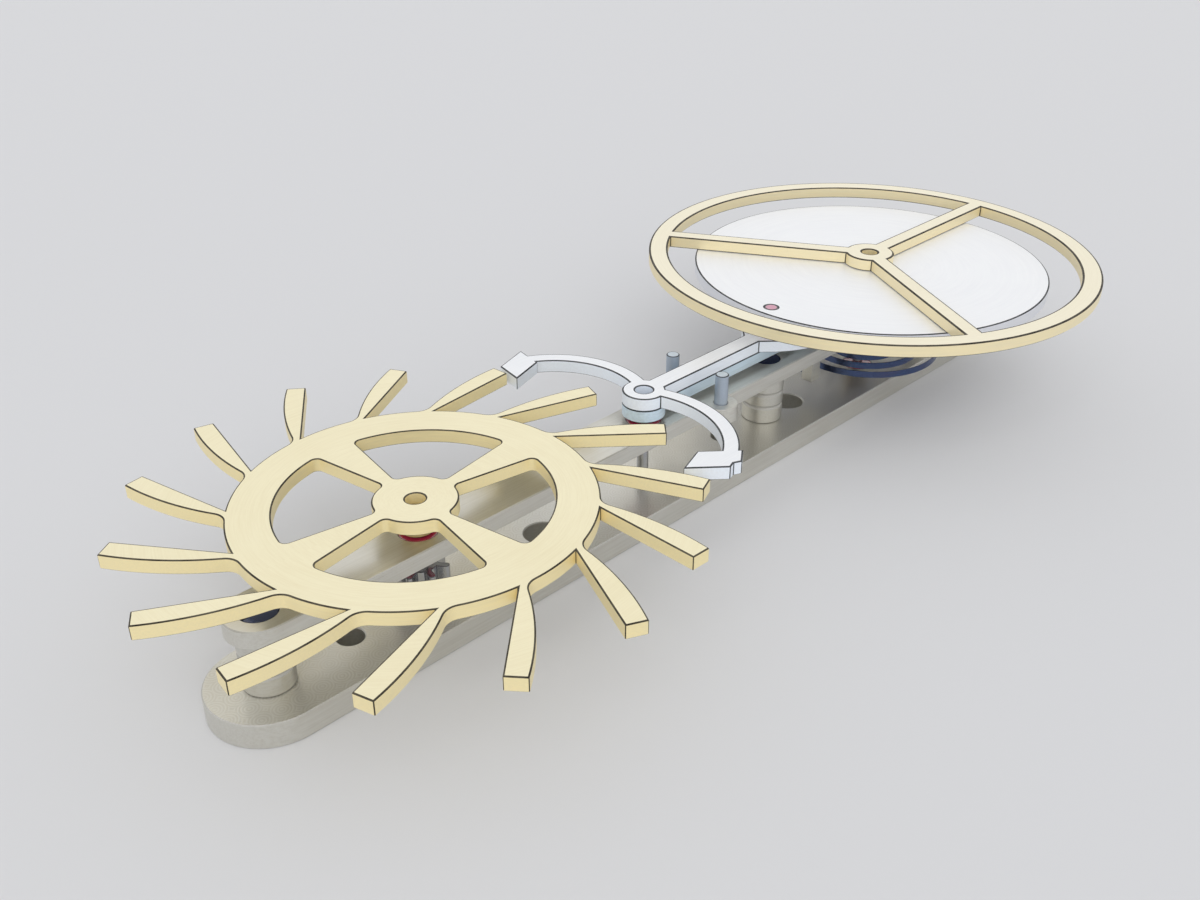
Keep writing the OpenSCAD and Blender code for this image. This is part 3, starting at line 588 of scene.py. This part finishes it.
wheel = bmesh.new()
draw(wheel, 0, foot, (lead,), (heel,), (on_back, back_centre, 1),
     (on_rim, fillet_centre, -1), (next_foot, (0, 0), 1))
index_round(wheel, TEETH)
bmesh.ops.rotate(wheel, cent=(0, 0, 0), matrix=Matrix.Rotation(radians(FIRST_TOOTH), 3, "Z"),
                 verts=wheel.verts)

windows = bmesh.new()
near, far = SPOKE_HALF, 360 / SPOKES - SPOKE_HALF
out_off = degrees(asin(WINDOW_R / (RIM_IN_R - WINDOW_R)))
in_off = degrees(asin(WINDOW_R / (HUB_R + WINDOW_R)))
out_l = (RIM_IN_R - WINDOW_R) * cos(radians(out_off))
in_l = (HUB_R + WINDOW_R) * cos(radians(in_off))
draw(windows, 0, polar(in_l, near), (polar(out_l, near),),
     (polar(RIM_IN_R, near + out_off), polar(RIM_IN_R - WINDOW_R, near + out_off), 1),
     (polar(RIM_IN_R, far - out_off), (0, 0), 1),
     (polar(out_l, far), polar(RIM_IN_R - WINDOW_R, far - out_off), 1),
     (polar(in_l, far),),
     (polar(HUB_R, far - in_off), polar(HUB_R + WINDOW_R, far - in_off), 1),
     (polar(HUB_R, near + in_off), (0, 0), -1),
     (polar(in_l, near), polar(HUB_R + WINDOW_R, near + in_off), 1))
index_round(windows, SPOKES)
window_work = bpy.data.meshes.new("windows")
windows.to_mesh(window_work)
windows.free()
wheel.from_mesh(window_work)
bpy.data.meshes.remove(window_work)
ring(wheel, 0, (0, 0), BORE_R)
push(wheel, sheet(wheel, wheel.edges[:]), SHEET_T)
bmesh.ops.translate(wheel, vec=(*wheel_axis, WHEEL_Z), verts=wheel.verts)
# The wheel's walls are painted a deeper, darker yellow than its top, as shade.
wheel_gilding = metal("wheel_gilding", (0.91, 0.84, 0.59), (0.78, 0.68, 0.42),
                      (0.018, 0.012, 0.004), turned_grain, 34.0, 0.003, centre=wheel_axis,
                      painted_wall_shading=(0.93, 0.80, 0.45), metallic=0.35, amount=0.16, specks=0.10)
finish_piece(wheel, "toothed_wheel", "escape_wheel", "escape", wheel_gilding,
             edge_w=0.015, line_w=0.013)

# Escape pinion: seven leaves cut in one piece with the arbor, of hardened and polished steel.
# The movement's train drives it. Its pivot runs in the lower jewel and its journal in the upper.
LEAVES, LEAF_R, LEAF_HALF, ROOT_R = 7, 0.52, 0.065, 0.3
PINION_Z, PINION_TOP, JOURNAL_R, PIVOT_R = 0.75, 1.25, 0.12, 0.08
SHOULDER_Z, PIVOT_END, SEAT_H = 0.53, 0.22, 0.06
SEAT_TOP = WHEEL_Z + SEAT_H
pinion = bmesh.new()
root_x = sqrt(ROOT_R ** 2 - LEAF_HALF ** 2)
root_half = degrees(atan2(LEAF_HALF, root_x))
draw(pinion, 0, (root_x, -LEAF_HALF), ((LEAF_R - LEAF_HALF, -LEAF_HALF),),
     ((LEAF_R - LEAF_HALF, LEAF_HALF), (LEAF_R - LEAF_HALF, 0), 1),
     ((root_x, LEAF_HALF),), (polar(ROOT_R, 360 / LEAVES - root_half), (0, 0), 1))
index_round(pinion, LEAVES)
leaf_edges = pinion.edges[:]
core = ring(pinion, 0, (0, 0), JOURNAL_R)
toothed = sheet(pinion, leaf_edges, core)
shaft = sheet(pinion, core)
push(pinion, toothed + shaft, PINION_Z - PINION_TOP)
shaft_below = [face for face in pinion.faces if face not in shaft
               and all(vert.co.xy.length < (JOURNAL_R + ROOT_R) / 2 for vert in face.verts)]
push(pinion, shaft, SEAT_TOP - PINION_TOP)
shaft_end = push(pinion, shaft_below, SHOULDER_Z - PINION_Z)
bmesh.ops.inset_region(pinion, faces=shaft_end, thickness=JOURNAL_R - PIVOT_R,
                       use_even_offset=True)
push(pinion, shaft_end, PIVOT_END - SHOULDER_Z)
bmesh.ops.translate(pinion, vec=(*wheel_axis, PINION_TOP), verts=pinion.verts)


def polished_steel(name, axis):
    """Hardened steel, turned round an axis and polished."""
    return metal(name, (0.50, 0.51, 0.54), (0.36, 0.37, 0.39), (0.09, 0.09, 0.10), turned_grain,
                 34.0, 0.0015, centre=axis, metallic=1.0, roughness=(0.14, 0.24))


finish_piece(pinion, "wheel_pinion", "escape_pinion", "escape",
             polished_steel("polished_steel", wheel_axis), edge_w=0.012)

# Escape collet: a turned brass seat for the escape wheel. It is pressed on the arbor and
# riveted into the wheel's bore.
COLLET_Z, COLLET_R = 1.98, 0.3
collet = bmesh.new()
turn(collet, wheel_axis, (JOURNAL_R, COLLET_Z), (COLLET_R, COLLET_Z), (COLLET_R, WHEEL_Z),
     (BORE_R, WHEEL_Z), (BORE_R, SEAT_TOP), (JOURNAL_R, SEAT_TOP), closed=True)


def turned_brass(name, axis):
    """Brass, turned round an axis."""
    return metal(name, (0.68, 0.55, 0.27), (0.48, 0.34, 0.14), (0.10, 0.07, 0.02), turned_grain,
                 28.0, 0.003, centre=axis)


finish_piece(collet, "wheel_collet", "escape_collet", "escape",
             turned_brass("turned_brass", wheel_axis), edge_w=0.014)

# Pallet fork: one piece of pale satin steel, with solid pallets on two curved arms, a straight
# lever, and a head that flares into two horns round the notch for the impulse jewel.
LEVER_HALF, FORK_HUB_R, ARM_HALF_W = 0.2165, 0.44, 0.16
PALLET_R, PALLET_HALF, PALLET_L, PALLET_TURN, DRAW = 2.8868, 0.2575, 0.855, 30, 12
LOCK_ANGLE, LET_OFF_ANGLE, ARM_BEND = 115.2, 124, 46
ENTRY_ROOT, EXIT_ROOT = (0.31, 1.0), (0.57, 0.8)
TOE_START, TOE_SHARE, TOE_OUT = 0.228, 0.317, 0.1365
JEWEL_X, HORN, NOTCH_HALF, NOTCH_FLOOR = 4.075, 0.885, 0.169, 3.886
HEAD = [(-0.645, LEVER_HALF), (-0.355, 0.56 * HORN), (-0.115, 0.76 * HORN),
        (0.085, 0.89 * HORN), (0.305, HORN)]
TIP = (0.425, 0.97 * HORN)
HORN_FACE_R, HORN_TRAVEL = 3.934, 10.8


def pallet(side):
    """The corners of a pallet, at the ends of its impulse face and behind them."""
    lock = polar(PALLET_R + side * PALLET_HALF, side * LOCK_ANGLE)
    let_off = polar(PALLET_R - side * PALLET_HALF, side * LET_OFF_ANGLE)
    run = polar(PALLET_L, side * PALLET_TURN - DRAW)
    return lock, let_off, let_off + run, lock + run


def arm(side, corners, root_share):
    """The centre and the radius of an arm's arc, which runs from the fork's axis to the arm's
    root on its pallet, and that root."""
    lock, let_off, back_let_off = corners[:3]
    root = let_off + root_share[0] * (lock - let_off) + root_share[1] * (back_let_off - let_off)
    centre = root / 2 + side * Vector((-root.y, root.x)) / (2 * tan(radians(ARM_BEND)))
    return centre, centre.length, root


def leaves_hub(centre, radius, side):
    """Where an arm's edge leaves the hub."""
    both = intersect_sphere_sphere_2d(Vector((0, 0)), FORK_HUB_R, centre, radius)
    return nearest(both, Vector((0, side * FORK_HUB_R)))


def meets(centre, radius, start, end, place):
    """Where an arm's edge meets one side of its pallet."""
    return nearest(intersect_line_sphere_2d(start, end, centre, radius, False), place)


entry, leaving = pallet(1), pallet(-1)
entry_c, entry_arc, entry_root = arm(1, entry, ENTRY_ROOT)
exit_c, exit_arc, exit_root = arm(-1, leaving, EXIT_ROOT)
entry_out, entry_in = entry_arc + ARM_HALF_W, entry_arc - ARM_HALF_W
exit_out, exit_in = exit_arc + ARM_HALF_W, exit_arc - ARM_HALF_W
back_face = leaving[3] - leaving[2]
toe_start = leaving[2] + TOE_START * back_face
toe_corner = leaving[2] + TOE_SHARE * back_face + polar(TOE_OUT, -PALLET_TURN - DRAW)
lever_root = sqrt(FORK_HUB_R ** 2 - LEVER_HALF ** 2)
horn_c = [polar(AXES["balance"].x, side * HORN_TRAVEL) for side in (1, -1)]
mouth_x = horn_c[0].x - sqrt(HORN_FACE_R ** 2 - (horn_c[0].y + NOTCH_HALF) ** 2)
head = [Vector((JEWEL_X + x, y)) for x, y in HEAD]
tip = nearest(intersect_line_sphere_2d(head[-1], Vector((JEWEL_X + TIP[0], TIP[1])), horn_c[1],
                                       HORN_FACE_R, False), head[-1])
fork = bmesh.new()
fork_outline = draw(
    fork, WHEEL_Z, (lever_root, -LEVER_HALF),
    *[(below(point),) for point in head], (below(tip),),
    ((mouth_x, -NOTCH_HALF), horn_c[0], -1), ((NOTCH_FLOOR, -NOTCH_HALF),),
    ((NOTCH_FLOOR, NOTCH_HALF),), ((mouth_x, NOTCH_HALF),), (tip, horn_c[1], -1),
    *[(point,) for point in reversed(head)], ((lever_root, LEVER_HALF),),
    (leaves_hub(entry_c, entry_out, 1), (0, 0), 1),
    (meets(entry_c, entry_out, entry[2], entry[3], entry_root), entry_c, 1),
    (entry[3],), (entry[0],), (entry[1],), (entry[2],),
    (meets(entry_c, entry_in, entry[2], entry[3], entry_root),),
    (leaves_hub(entry_c, entry_in, 1), entry_c, -1),
    (leaves_hub(exit_c, exit_in, -1), (0, 0), 1),
    (meets(exit_c, exit_in, leaving[0], leaving[3], exit_root), exit_c, -1),
    (leaving[0],), (leaving[1],), (leaving[2],), (toe_start,), (toe_corner,), (leaving[3],),
    (meets(exit_c, exit_out, leaving[0], leaving[3], leaving[3]),),
    (leaves_hub(exit_c, exit_out, -1), exit_c, 1),
    ((lever_root, -LEVER_HALF), (0, 0), 1))
fork_bore = ring(fork, WHEEL_Z, (0, 0), BORE_R)
push(fork, sheet(fork, fork_outline, fork_bore), SHEET_T)
# The fork's walls are painted bluer and a little darker than its top, as shade.
fork_steel = metal("satin_fork_steel", (0.90, 0.91, 0.925), (0.74, 0.76, 0.80),
                   (0.012, 0.014, 0.018), straight_grain, 30.0, 0.003,
                   painted_wall_shading=(0.85, 0.905, 0.975), metallic=0.25, amount=0.18, specks=0.12)
finish_piece(fork, "lever_fork", "pallet_fork", "lever", fork_steel,
             edge_w=0.016, line_w=0.016)

# Guard finger: a second, bluer strip of steel under the lever, on the same hub. It runs past
# the notch and tapers to a narrow tip, which keeps watch on the edge of the small roller.
FINGER_Z, TAPER_X, TIP_X, TIP_HALF = WHEEL_Z - SHEET_T, 4.63, 6.23, 0.05
finger = bmesh.new()
finger_outline = draw(finger, FINGER_Z, (lever_root, -LEVER_HALF), ((TAPER_X, -LEVER_HALF),),
                      ((TIP_X, -TIP_HALF),), ((TIP_X, TIP_HALF),), ((TAPER_X, LEVER_HALF),),
                      ((lever_root, LEVER_HALF),), ((lever_root, -LEVER_HALF), (0, 0), 1))
finger_bore = ring(finger, FINGER_Z, (0, 0), BORE_R)
push(finger, sheet(finger, finger_outline, finger_bore), SHEET_T)
# The finger's walls are painted paler than its top, as light.
finger_steel = metal("guard_finger_steel", (0.58, 0.68, 0.75), (0.46, 0.55, 0.62),
                     (0.02, 0.025, 0.03), straight_grain, 20.0, 0.003,
                     painted_wall_shading=(0.70, 0.84, 0.94), amount=0.2)
finish_piece(finger, "lever_finger", "guard_finger", "lever", finger_steel)

# Pallet arbor: a slim polished steel arbor. Its shoulder carries the finger and the fork,
# which are pressed on its seat.
SHOULDER_TOP, SHOULDER_R = 1.98, 0.3
arbor = bmesh.new()
turn(arbor, AXES["pallet"], (0, PIVOT_END), (PIVOT_R, PIVOT_END), (PIVOT_R, SHOULDER_Z),
     (JOURNAL_R, SHOULDER_Z), (JOURNAL_R, SHOULDER_TOP), (SHOULDER_R, SHOULDER_TOP),
     (SHOULDER_R, FINGER_Z), (BORE_R, FINGER_Z), (BORE_R, SEAT_TOP), (0, SEAT_TOP))
finish_piece(arbor, "fork_arbor", "pallet_arbor", "lever",
             polished_steel("polished_arbor_steel", AXES["pallet"]), edge_w=0.012)

# Balance wheel: a flat ring with three straight spokes, sawn from one sheet of paler gilt
# brass. It is poised by thinning the underside, so its edge carries no screws.
BALANCE_Z, BALANCE_R, BALANCE_IN_R, BALANCE_HUB_R = 3.14, 5.22, 4.775, 0.565
BALANCE_SPOKES, SPOKE_HALF_W = 3, 0.1975
balance_axis = AXES["balance"]
balance = bmesh.new()
hub_off = degrees(asin(SPOKE_HALF_W / BALANCE_HUB_R))
rim_off = degrees(asin(SPOKE_HALF_W / BALANCE_IN_R))
next_spoke = 360 / BALANCE_SPOKES
draw(balance, 0, polar(BALANCE_HUB_R, hub_off), (polar(BALANCE_IN_R, rim_off),),
     (polar(BALANCE_IN_R, next_spoke - rim_off), (0, 0), 1),
     (polar(BALANCE_HUB_R, next_spoke - hub_off),),
     (polar(BALANCE_HUB_R, hub_off), (0, 0), -1))
index_round(balance, BALANCE_SPOKES)
ring(balance, 0, (0, 0), BALANCE_R)
ring(balance, 0, (0, 0), BORE_R)
push(balance, sheet(balance, balance.edges[:]), SHEET_T)
bmesh.ops.translate(balance, vec=(*balance_axis, BALANCE_Z), verts=balance.verts)
# The balance's walls are painted a deeper, darker yellow than its top, as shade.
balance_gilding = metal("balance_gilding", (0.92, 0.865, 0.69), (0.80, 0.72, 0.52),
                        (0.018, 0.012, 0.006), turned_grain, 34.0, 0.003, centre=balance_axis,
                        painted_wall_shading=(0.94, 0.82, 0.52), amount=0.16, specks=0.10)
finish_piece(balance, "balance_ring", "balance_wheel", "balance", balance_gilding,
             line_w=0.024)

# Roller disc: a wide disc of white polished steel under the balance. The impulse jewel is
# pressed into it near its edge.
ROLLER_Z, ROLLER_R, JEWEL_PIN_R = 2.87, 4.11, 0.149
roller = bmesh.new()
roller_outline = ring(roller, ROLLER_Z, balance_axis, ROLLER_R)
roller_bore = ring(roller, ROLLER_Z, balance_axis, BORE_R)
jewel_hole = ring(roller, ROLLER_Z, (JEWEL_X, 0), JEWEL_PIN_R)
push(roller, sheet(roller, roller_outline, roller_bore, jewel_hole), SHEET_T)
# The roller's walls are painted darker and bluer than its top, as shade.
roller_steel = metal("white_roller_steel", (0.91, 0.92, 0.935), (0.80, 0.81, 0.85),
                     (0.014, 0.016, 0.022), turned_grain, 14.0, 0.002, centre=balance_axis,
                     painted_wall_shading=(0.80, 0.82, 0.88), amount=0.14, specks=0.08)
finish_piece(roller, "roller_table", "roller_disc", "balance", roller_steel,
             edge_w=0.016, line_w=0.016)

# Impulse jewel: a pin of pale ruby, flush with the top of the roller disc. Its lower end
# reaches down into the notch of the fork.
JEWEL_Z, ROLLER_TOP = 2.375, ROLLER_Z + SHEET_T
impulse = bmesh.new()
turn(impulse, (JEWEL_X, 0), (0, JEWEL_Z), (JEWEL_PIN_R, JEWEL_Z), (JEWEL_PIN_R, ROLLER_TOP),
     (0, ROLLER_TOP))
pale_ruby = ruby("pale_ruby", (0.68, 0.24, 0.37), (0.53, 0.14, 0.26), (0.03, 0.012, 0.02), 0.1,
                 coat=0.6)
finish_piece(impulse, "impulse_ruby", "impulse_jewel", "balance", pale_ruby,
             edge_w=0.012, line_w=0.018)

# Safety roller: a smaller steel disc at the level of the guard finger, with a round hollow
# that lets the finger's tip pass.
SAFETY_R, HOLLOW_R, STAFF_R = 2.0, 0.9, 0.28
safety = bmesh.new()
hollow_c = balance_axis - Vector((SAFETY_R, 0))
lips = [Vector(lip) for lip in
        intersect_sphere_sphere_2d(balance_axis, SAFETY_R, hollow_c, HOLLOW_R)]
lower_lip, upper_lip = sorted(lips, key=lambda lip: lip.y)
safety_outline = draw(safety, FINGER_Z, lower_lip, (upper_lip, balance_axis, 1),
                      (lower_lip, hollow_c, -1))
safety_bore = ring(safety, FINGER_Z, balance_axis, STAFF_R)
push(safety, sheet(safety, safety_outline, safety_bore), SHEET_T)
safety_steel = metal("safety_roller_steel", (0.70, 0.71, 0.74), (0.56, 0.57, 0.62),
                     (0.06, 0.065, 0.08), turned_grain, 20.0, 0.002, centre=balance_axis)
finish_piece(safety, "small_roller", "safety_roller", "balance", safety_steel)

# Balance staff: the balance's axle, turned from steel and polished. Both rollers and the
# balance are pressed on its seats.
STAFF_END, FLANGE_R, STAFF_TOP = 0.17, 0.34, BALANCE_Z + SEAT_H
staff = bmesh.new()
turn(staff, balance_axis, (0, STAFF_END), (PIVOT_R, STAFF_END), (PIVOT_R, SHOULDER_Z),
     (JOURNAL_R, SHOULDER_Z), (JOURNAL_R, SHOULDER_TOP), (FLANGE_R, SHOULDER_TOP),
     (FLANGE_R, FINGER_Z), (STAFF_R, FINGER_Z), (STAFF_R, ROLLER_Z), (BORE_R, ROLLER_Z),
     (BORE_R, STAFF_TOP), (0, STAFF_TOP))
finish_piece(staff, "balance_axle", "balance_staff", "balance",
             polished_steel("polished_staff_steel", balance_axis), edge_w=0.012)

# Hairspring: a flat ribbon of blued steel, wound into four even turns. Its inner end is fixed
# to the collet on the staff and its outer end to the stud on the bar. As the balance swings it winds
# and unwinds; here it is made as one still piece, on no moving body.
SPRING_IN_R, PITCH, TURNS, RIBBON_T, RIBBON_H, SPRING_Z = 0.325, 0.47, 4, 0.025, 0.15, 0.975
TURN_STEPS = 96
spring = bmesh.new()
inner_end = [spring.verts.new((balance_axis.x - SPRING_IN_R, balance_axis.y, z))
             for z in (SPRING_Z, SPRING_Z + RIBBON_H)]
bmesh.ops.spin(spring, geom=inner_end + [spring.edges.new(inner_end)], cent=(*balance_axis, 0),
               axis=(0, 0, 1), angle=2 * pi * TURNS, steps=TURNS * TURN_STEPS)
# It is wound as a circle first, and then let out by one pitch a turn. The ribbon's thickness
# goes inwards from there.
for number, vert in enumerate(spring.verts):
    let_out = (SPRING_IN_R + PITCH * (number // 2) / TURN_STEPS) / SPRING_IN_R
    vert.co.xy = balance_axis + (vert.co.xy - balance_axis) * let_out
bmesh.ops.recalc_face_normals(spring, faces=spring.faces)
bmesh.ops.solidify(spring, geom=spring.faces[:], thickness=RIBBON_T)
spring_blue = metal("blued_spring_steel", (0.07, 0.11, 0.22), (0.11, 0.10, 0.18),
                    (0.03, 0.04, 0.08), turned_grain, 24.0, 0.001, centre=balance_axis,
                    metallic=1.0, roughness=(0.2, 0.3))
ribbon = finish_piece(spring, "balance_spring", "hairspring", None, spring_blue,
                      edge_w=0)
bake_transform(ribbon)

# Spring collet: a slit ring of brass that grips the staff. The slit lets it spring open, so
# that it can be turned to set the balance in beat.
SPRING_COLLET_R, SPRING_COLLET_Z, SPRING_COLLET_H, SLIT_HALF = 0.3, 0.925, 0.25, 0.02
grip = bmesh.new()
out_slit = degrees(asin(SLIT_HALF / SPRING_COLLET_R))
in_slit = degrees(asin(SLIT_HALF / JOURNAL_R))
open_ring = draw(grip, 0, polar(SPRING_COLLET_R, out_slit),
                 (polar(SPRING_COLLET_R, -out_slit), (0, 0), 1),
                 (polar(JOURNAL_R, -in_slit),), (polar(JOURNAL_R, in_slit), (0, 0), -1),
                 (polar(SPRING_COLLET_R, out_slit),))
push(grip, sheet(grip, open_ring), SPRING_COLLET_H)
bmesh.ops.translate(grip, vec=(*balance_axis, SPRING_COLLET_Z), verts=grip.verts)
finish_piece(grip, "spring_collet", "hairspring_collet", "balance",
             turned_brass("spring_collet_brass", balance_axis), edge_w=0.012)

# Hairspring stud: a small block that hangs from the bar and holds the spring's outer end. Its
# round shank goes up into the bar.
STUD_W, STUD_Z = 0.3, 0.895
block = bmesh.new()
brick(block, (STUD.x, -STUD_W / 2, (STUD_Z + BAR_Z) / 2), (STUD_W, STUD_W, BAR_Z - STUD_Z))
shank = bmesh.new()
turn(shank, STUD, (0, BAR_Z - STUD_W), (SHANK_R, BAR_Z - STUD_W), (SHANK_R, BAR_TOP),
     (0, BAR_TOP))
block = combine(block, shank, "UNION")
stud_nickel = metal("stud_nickel_silver", (0.66, 0.65, 0.60), (0.46, 0.44, 0.38),
                    (0.28, 0.27, 0.25), straight_grain, 26.0, 0.003, **NICKEL_SILVER)
finish_piece(block, "spring_stud", "hairspring_stud", "carrier", stud_nickel,
             edge_w=0.014)

# Stud screw: a headless screw of the same blued steel in the side of the bar. It clamps the
# stud's shank, and its slot lies flush with the bar's side.
SCREW_SLOT = 0.067
side_screw = bmesh.new()
rod(side_screw, STUD_SCREW_R, BAR_HALF_W - SHANK_R, STUD_SCREW_STEPS,
    (STUD.x, (BAR_HALF_W + SHANK_R) / 2, MID_Z), 90)
blade = bmesh.new()
brick(blade, (STUD.x, BAR_HALF_W, MID_Z), (4 * STUD_SCREW_R, 2 * SCREW_SLOT, SCREW_SLOT))
side_screw = combine(side_screw, blade, "DIFFERENCE")
finish_piece(side_screw, "spring_stud_screw", "stud_screw", "carrier", blue,
             edge_w=0.01)

# The studio: a plain pale floor, even light from all round, and one broad soft lamp above the
# camera. The camera stands where the photograph was taken from.
FLOOR_Z, FLOOR_HALF = 0.002, 400
LAMP_TOWARDS = Vector((0.6, 0.6, -0.6))
CAMERA_AT, CAMERA_TURN, CAMERA_DOWN = Vector((-16.31, -14.93, 13.95)), 45.24, 30
floor = bmesh.new()
bmesh.ops.create_grid(floor, x_segments=1, y_segments=1, size=FLOOR_HALF * MM,
                      matrix=Matrix.Translation((0, 0, FLOOR_Z * MM)))
floor_mesh = bpy.data.meshes.new("studio_floor")
floor.to_mesh(floor_mesh)
floor.free()
paper = bpy.data.materials.new("floor_paper")
paper.use_nodes = True
paper_shader = paper.node_tree.nodes["Principled BSDF"]
paper_shader.inputs["Base Color"].default_value = (0.70, 0.70, 0.71, 1)
paper_shader.inputs["Roughness"].default_value = 0.9
floor_mesh.materials.append(paper)
studio_floor = bpy.data.objects.new("studio_floor", floor_mesh)
bpy.context.scene.collection.objects.link(studio_floor)

world = bpy.data.worlds.new("studio")
bpy.context.scene.world = world
world.use_nodes = True
around = world.node_tree
around.nodes.clear()
ray = add(around, "ShaderNodeLightPath", {}).outputs
seen = add(around, "ShaderNodeMath", {0: ray["Is Glossy Ray"], 1: ray["Is Transmission Ray"]},
           operation="MAXIMUM")
lighting = add(around, "ShaderNodeBackground", {"Color": (0.97, 0.98, 1.0, 1), "Strength": 0.76})
backdrop = add(around, "ShaderNodeBackground", {"Color": (1, 1, 1, 1), "Strength": 1.0})
mixed = add(around, "ShaderNodeMixShader", {0: seen.outputs[0], 1: lighting.outputs[0],
                                            2: backdrop.outputs[0]})
add(around, "ShaderNodeOutputWorld", {"Surface": mixed.outputs[0]})

lamp = bpy.data.lights.new("soft_lamp", "SUN")
lamp.energy = 1.2
lamp.angle = radians(60)
soft_lamp = bpy.data.objects.new("soft_lamp", lamp)
soft_lamp.visible_glossy = False
soft_lamp.rotation_euler = LAMP_TOWARDS.to_track_quat("-Z", "Y").to_euler()
bpy.context.scene.collection.objects.link(soft_lamp)

view = bpy.data.cameras.new("camera")
view.lens = 37.03
view.sensor_width = 36
view.clip_start, view.clip_end = 0.0005, 2.0
camera = bpy.data.objects.new("camera", view)
camera.location = CAMERA_AT * MM
camera.rotation_euler = (radians(90 - CAMERA_DOWN), 0, radians(-CAMERA_TURN))
bpy.context.scene.collection.objects.link(camera)
bpy.context.scene.camera = camera
bpy.context.scene.view_settings.view_transform = "Standard"
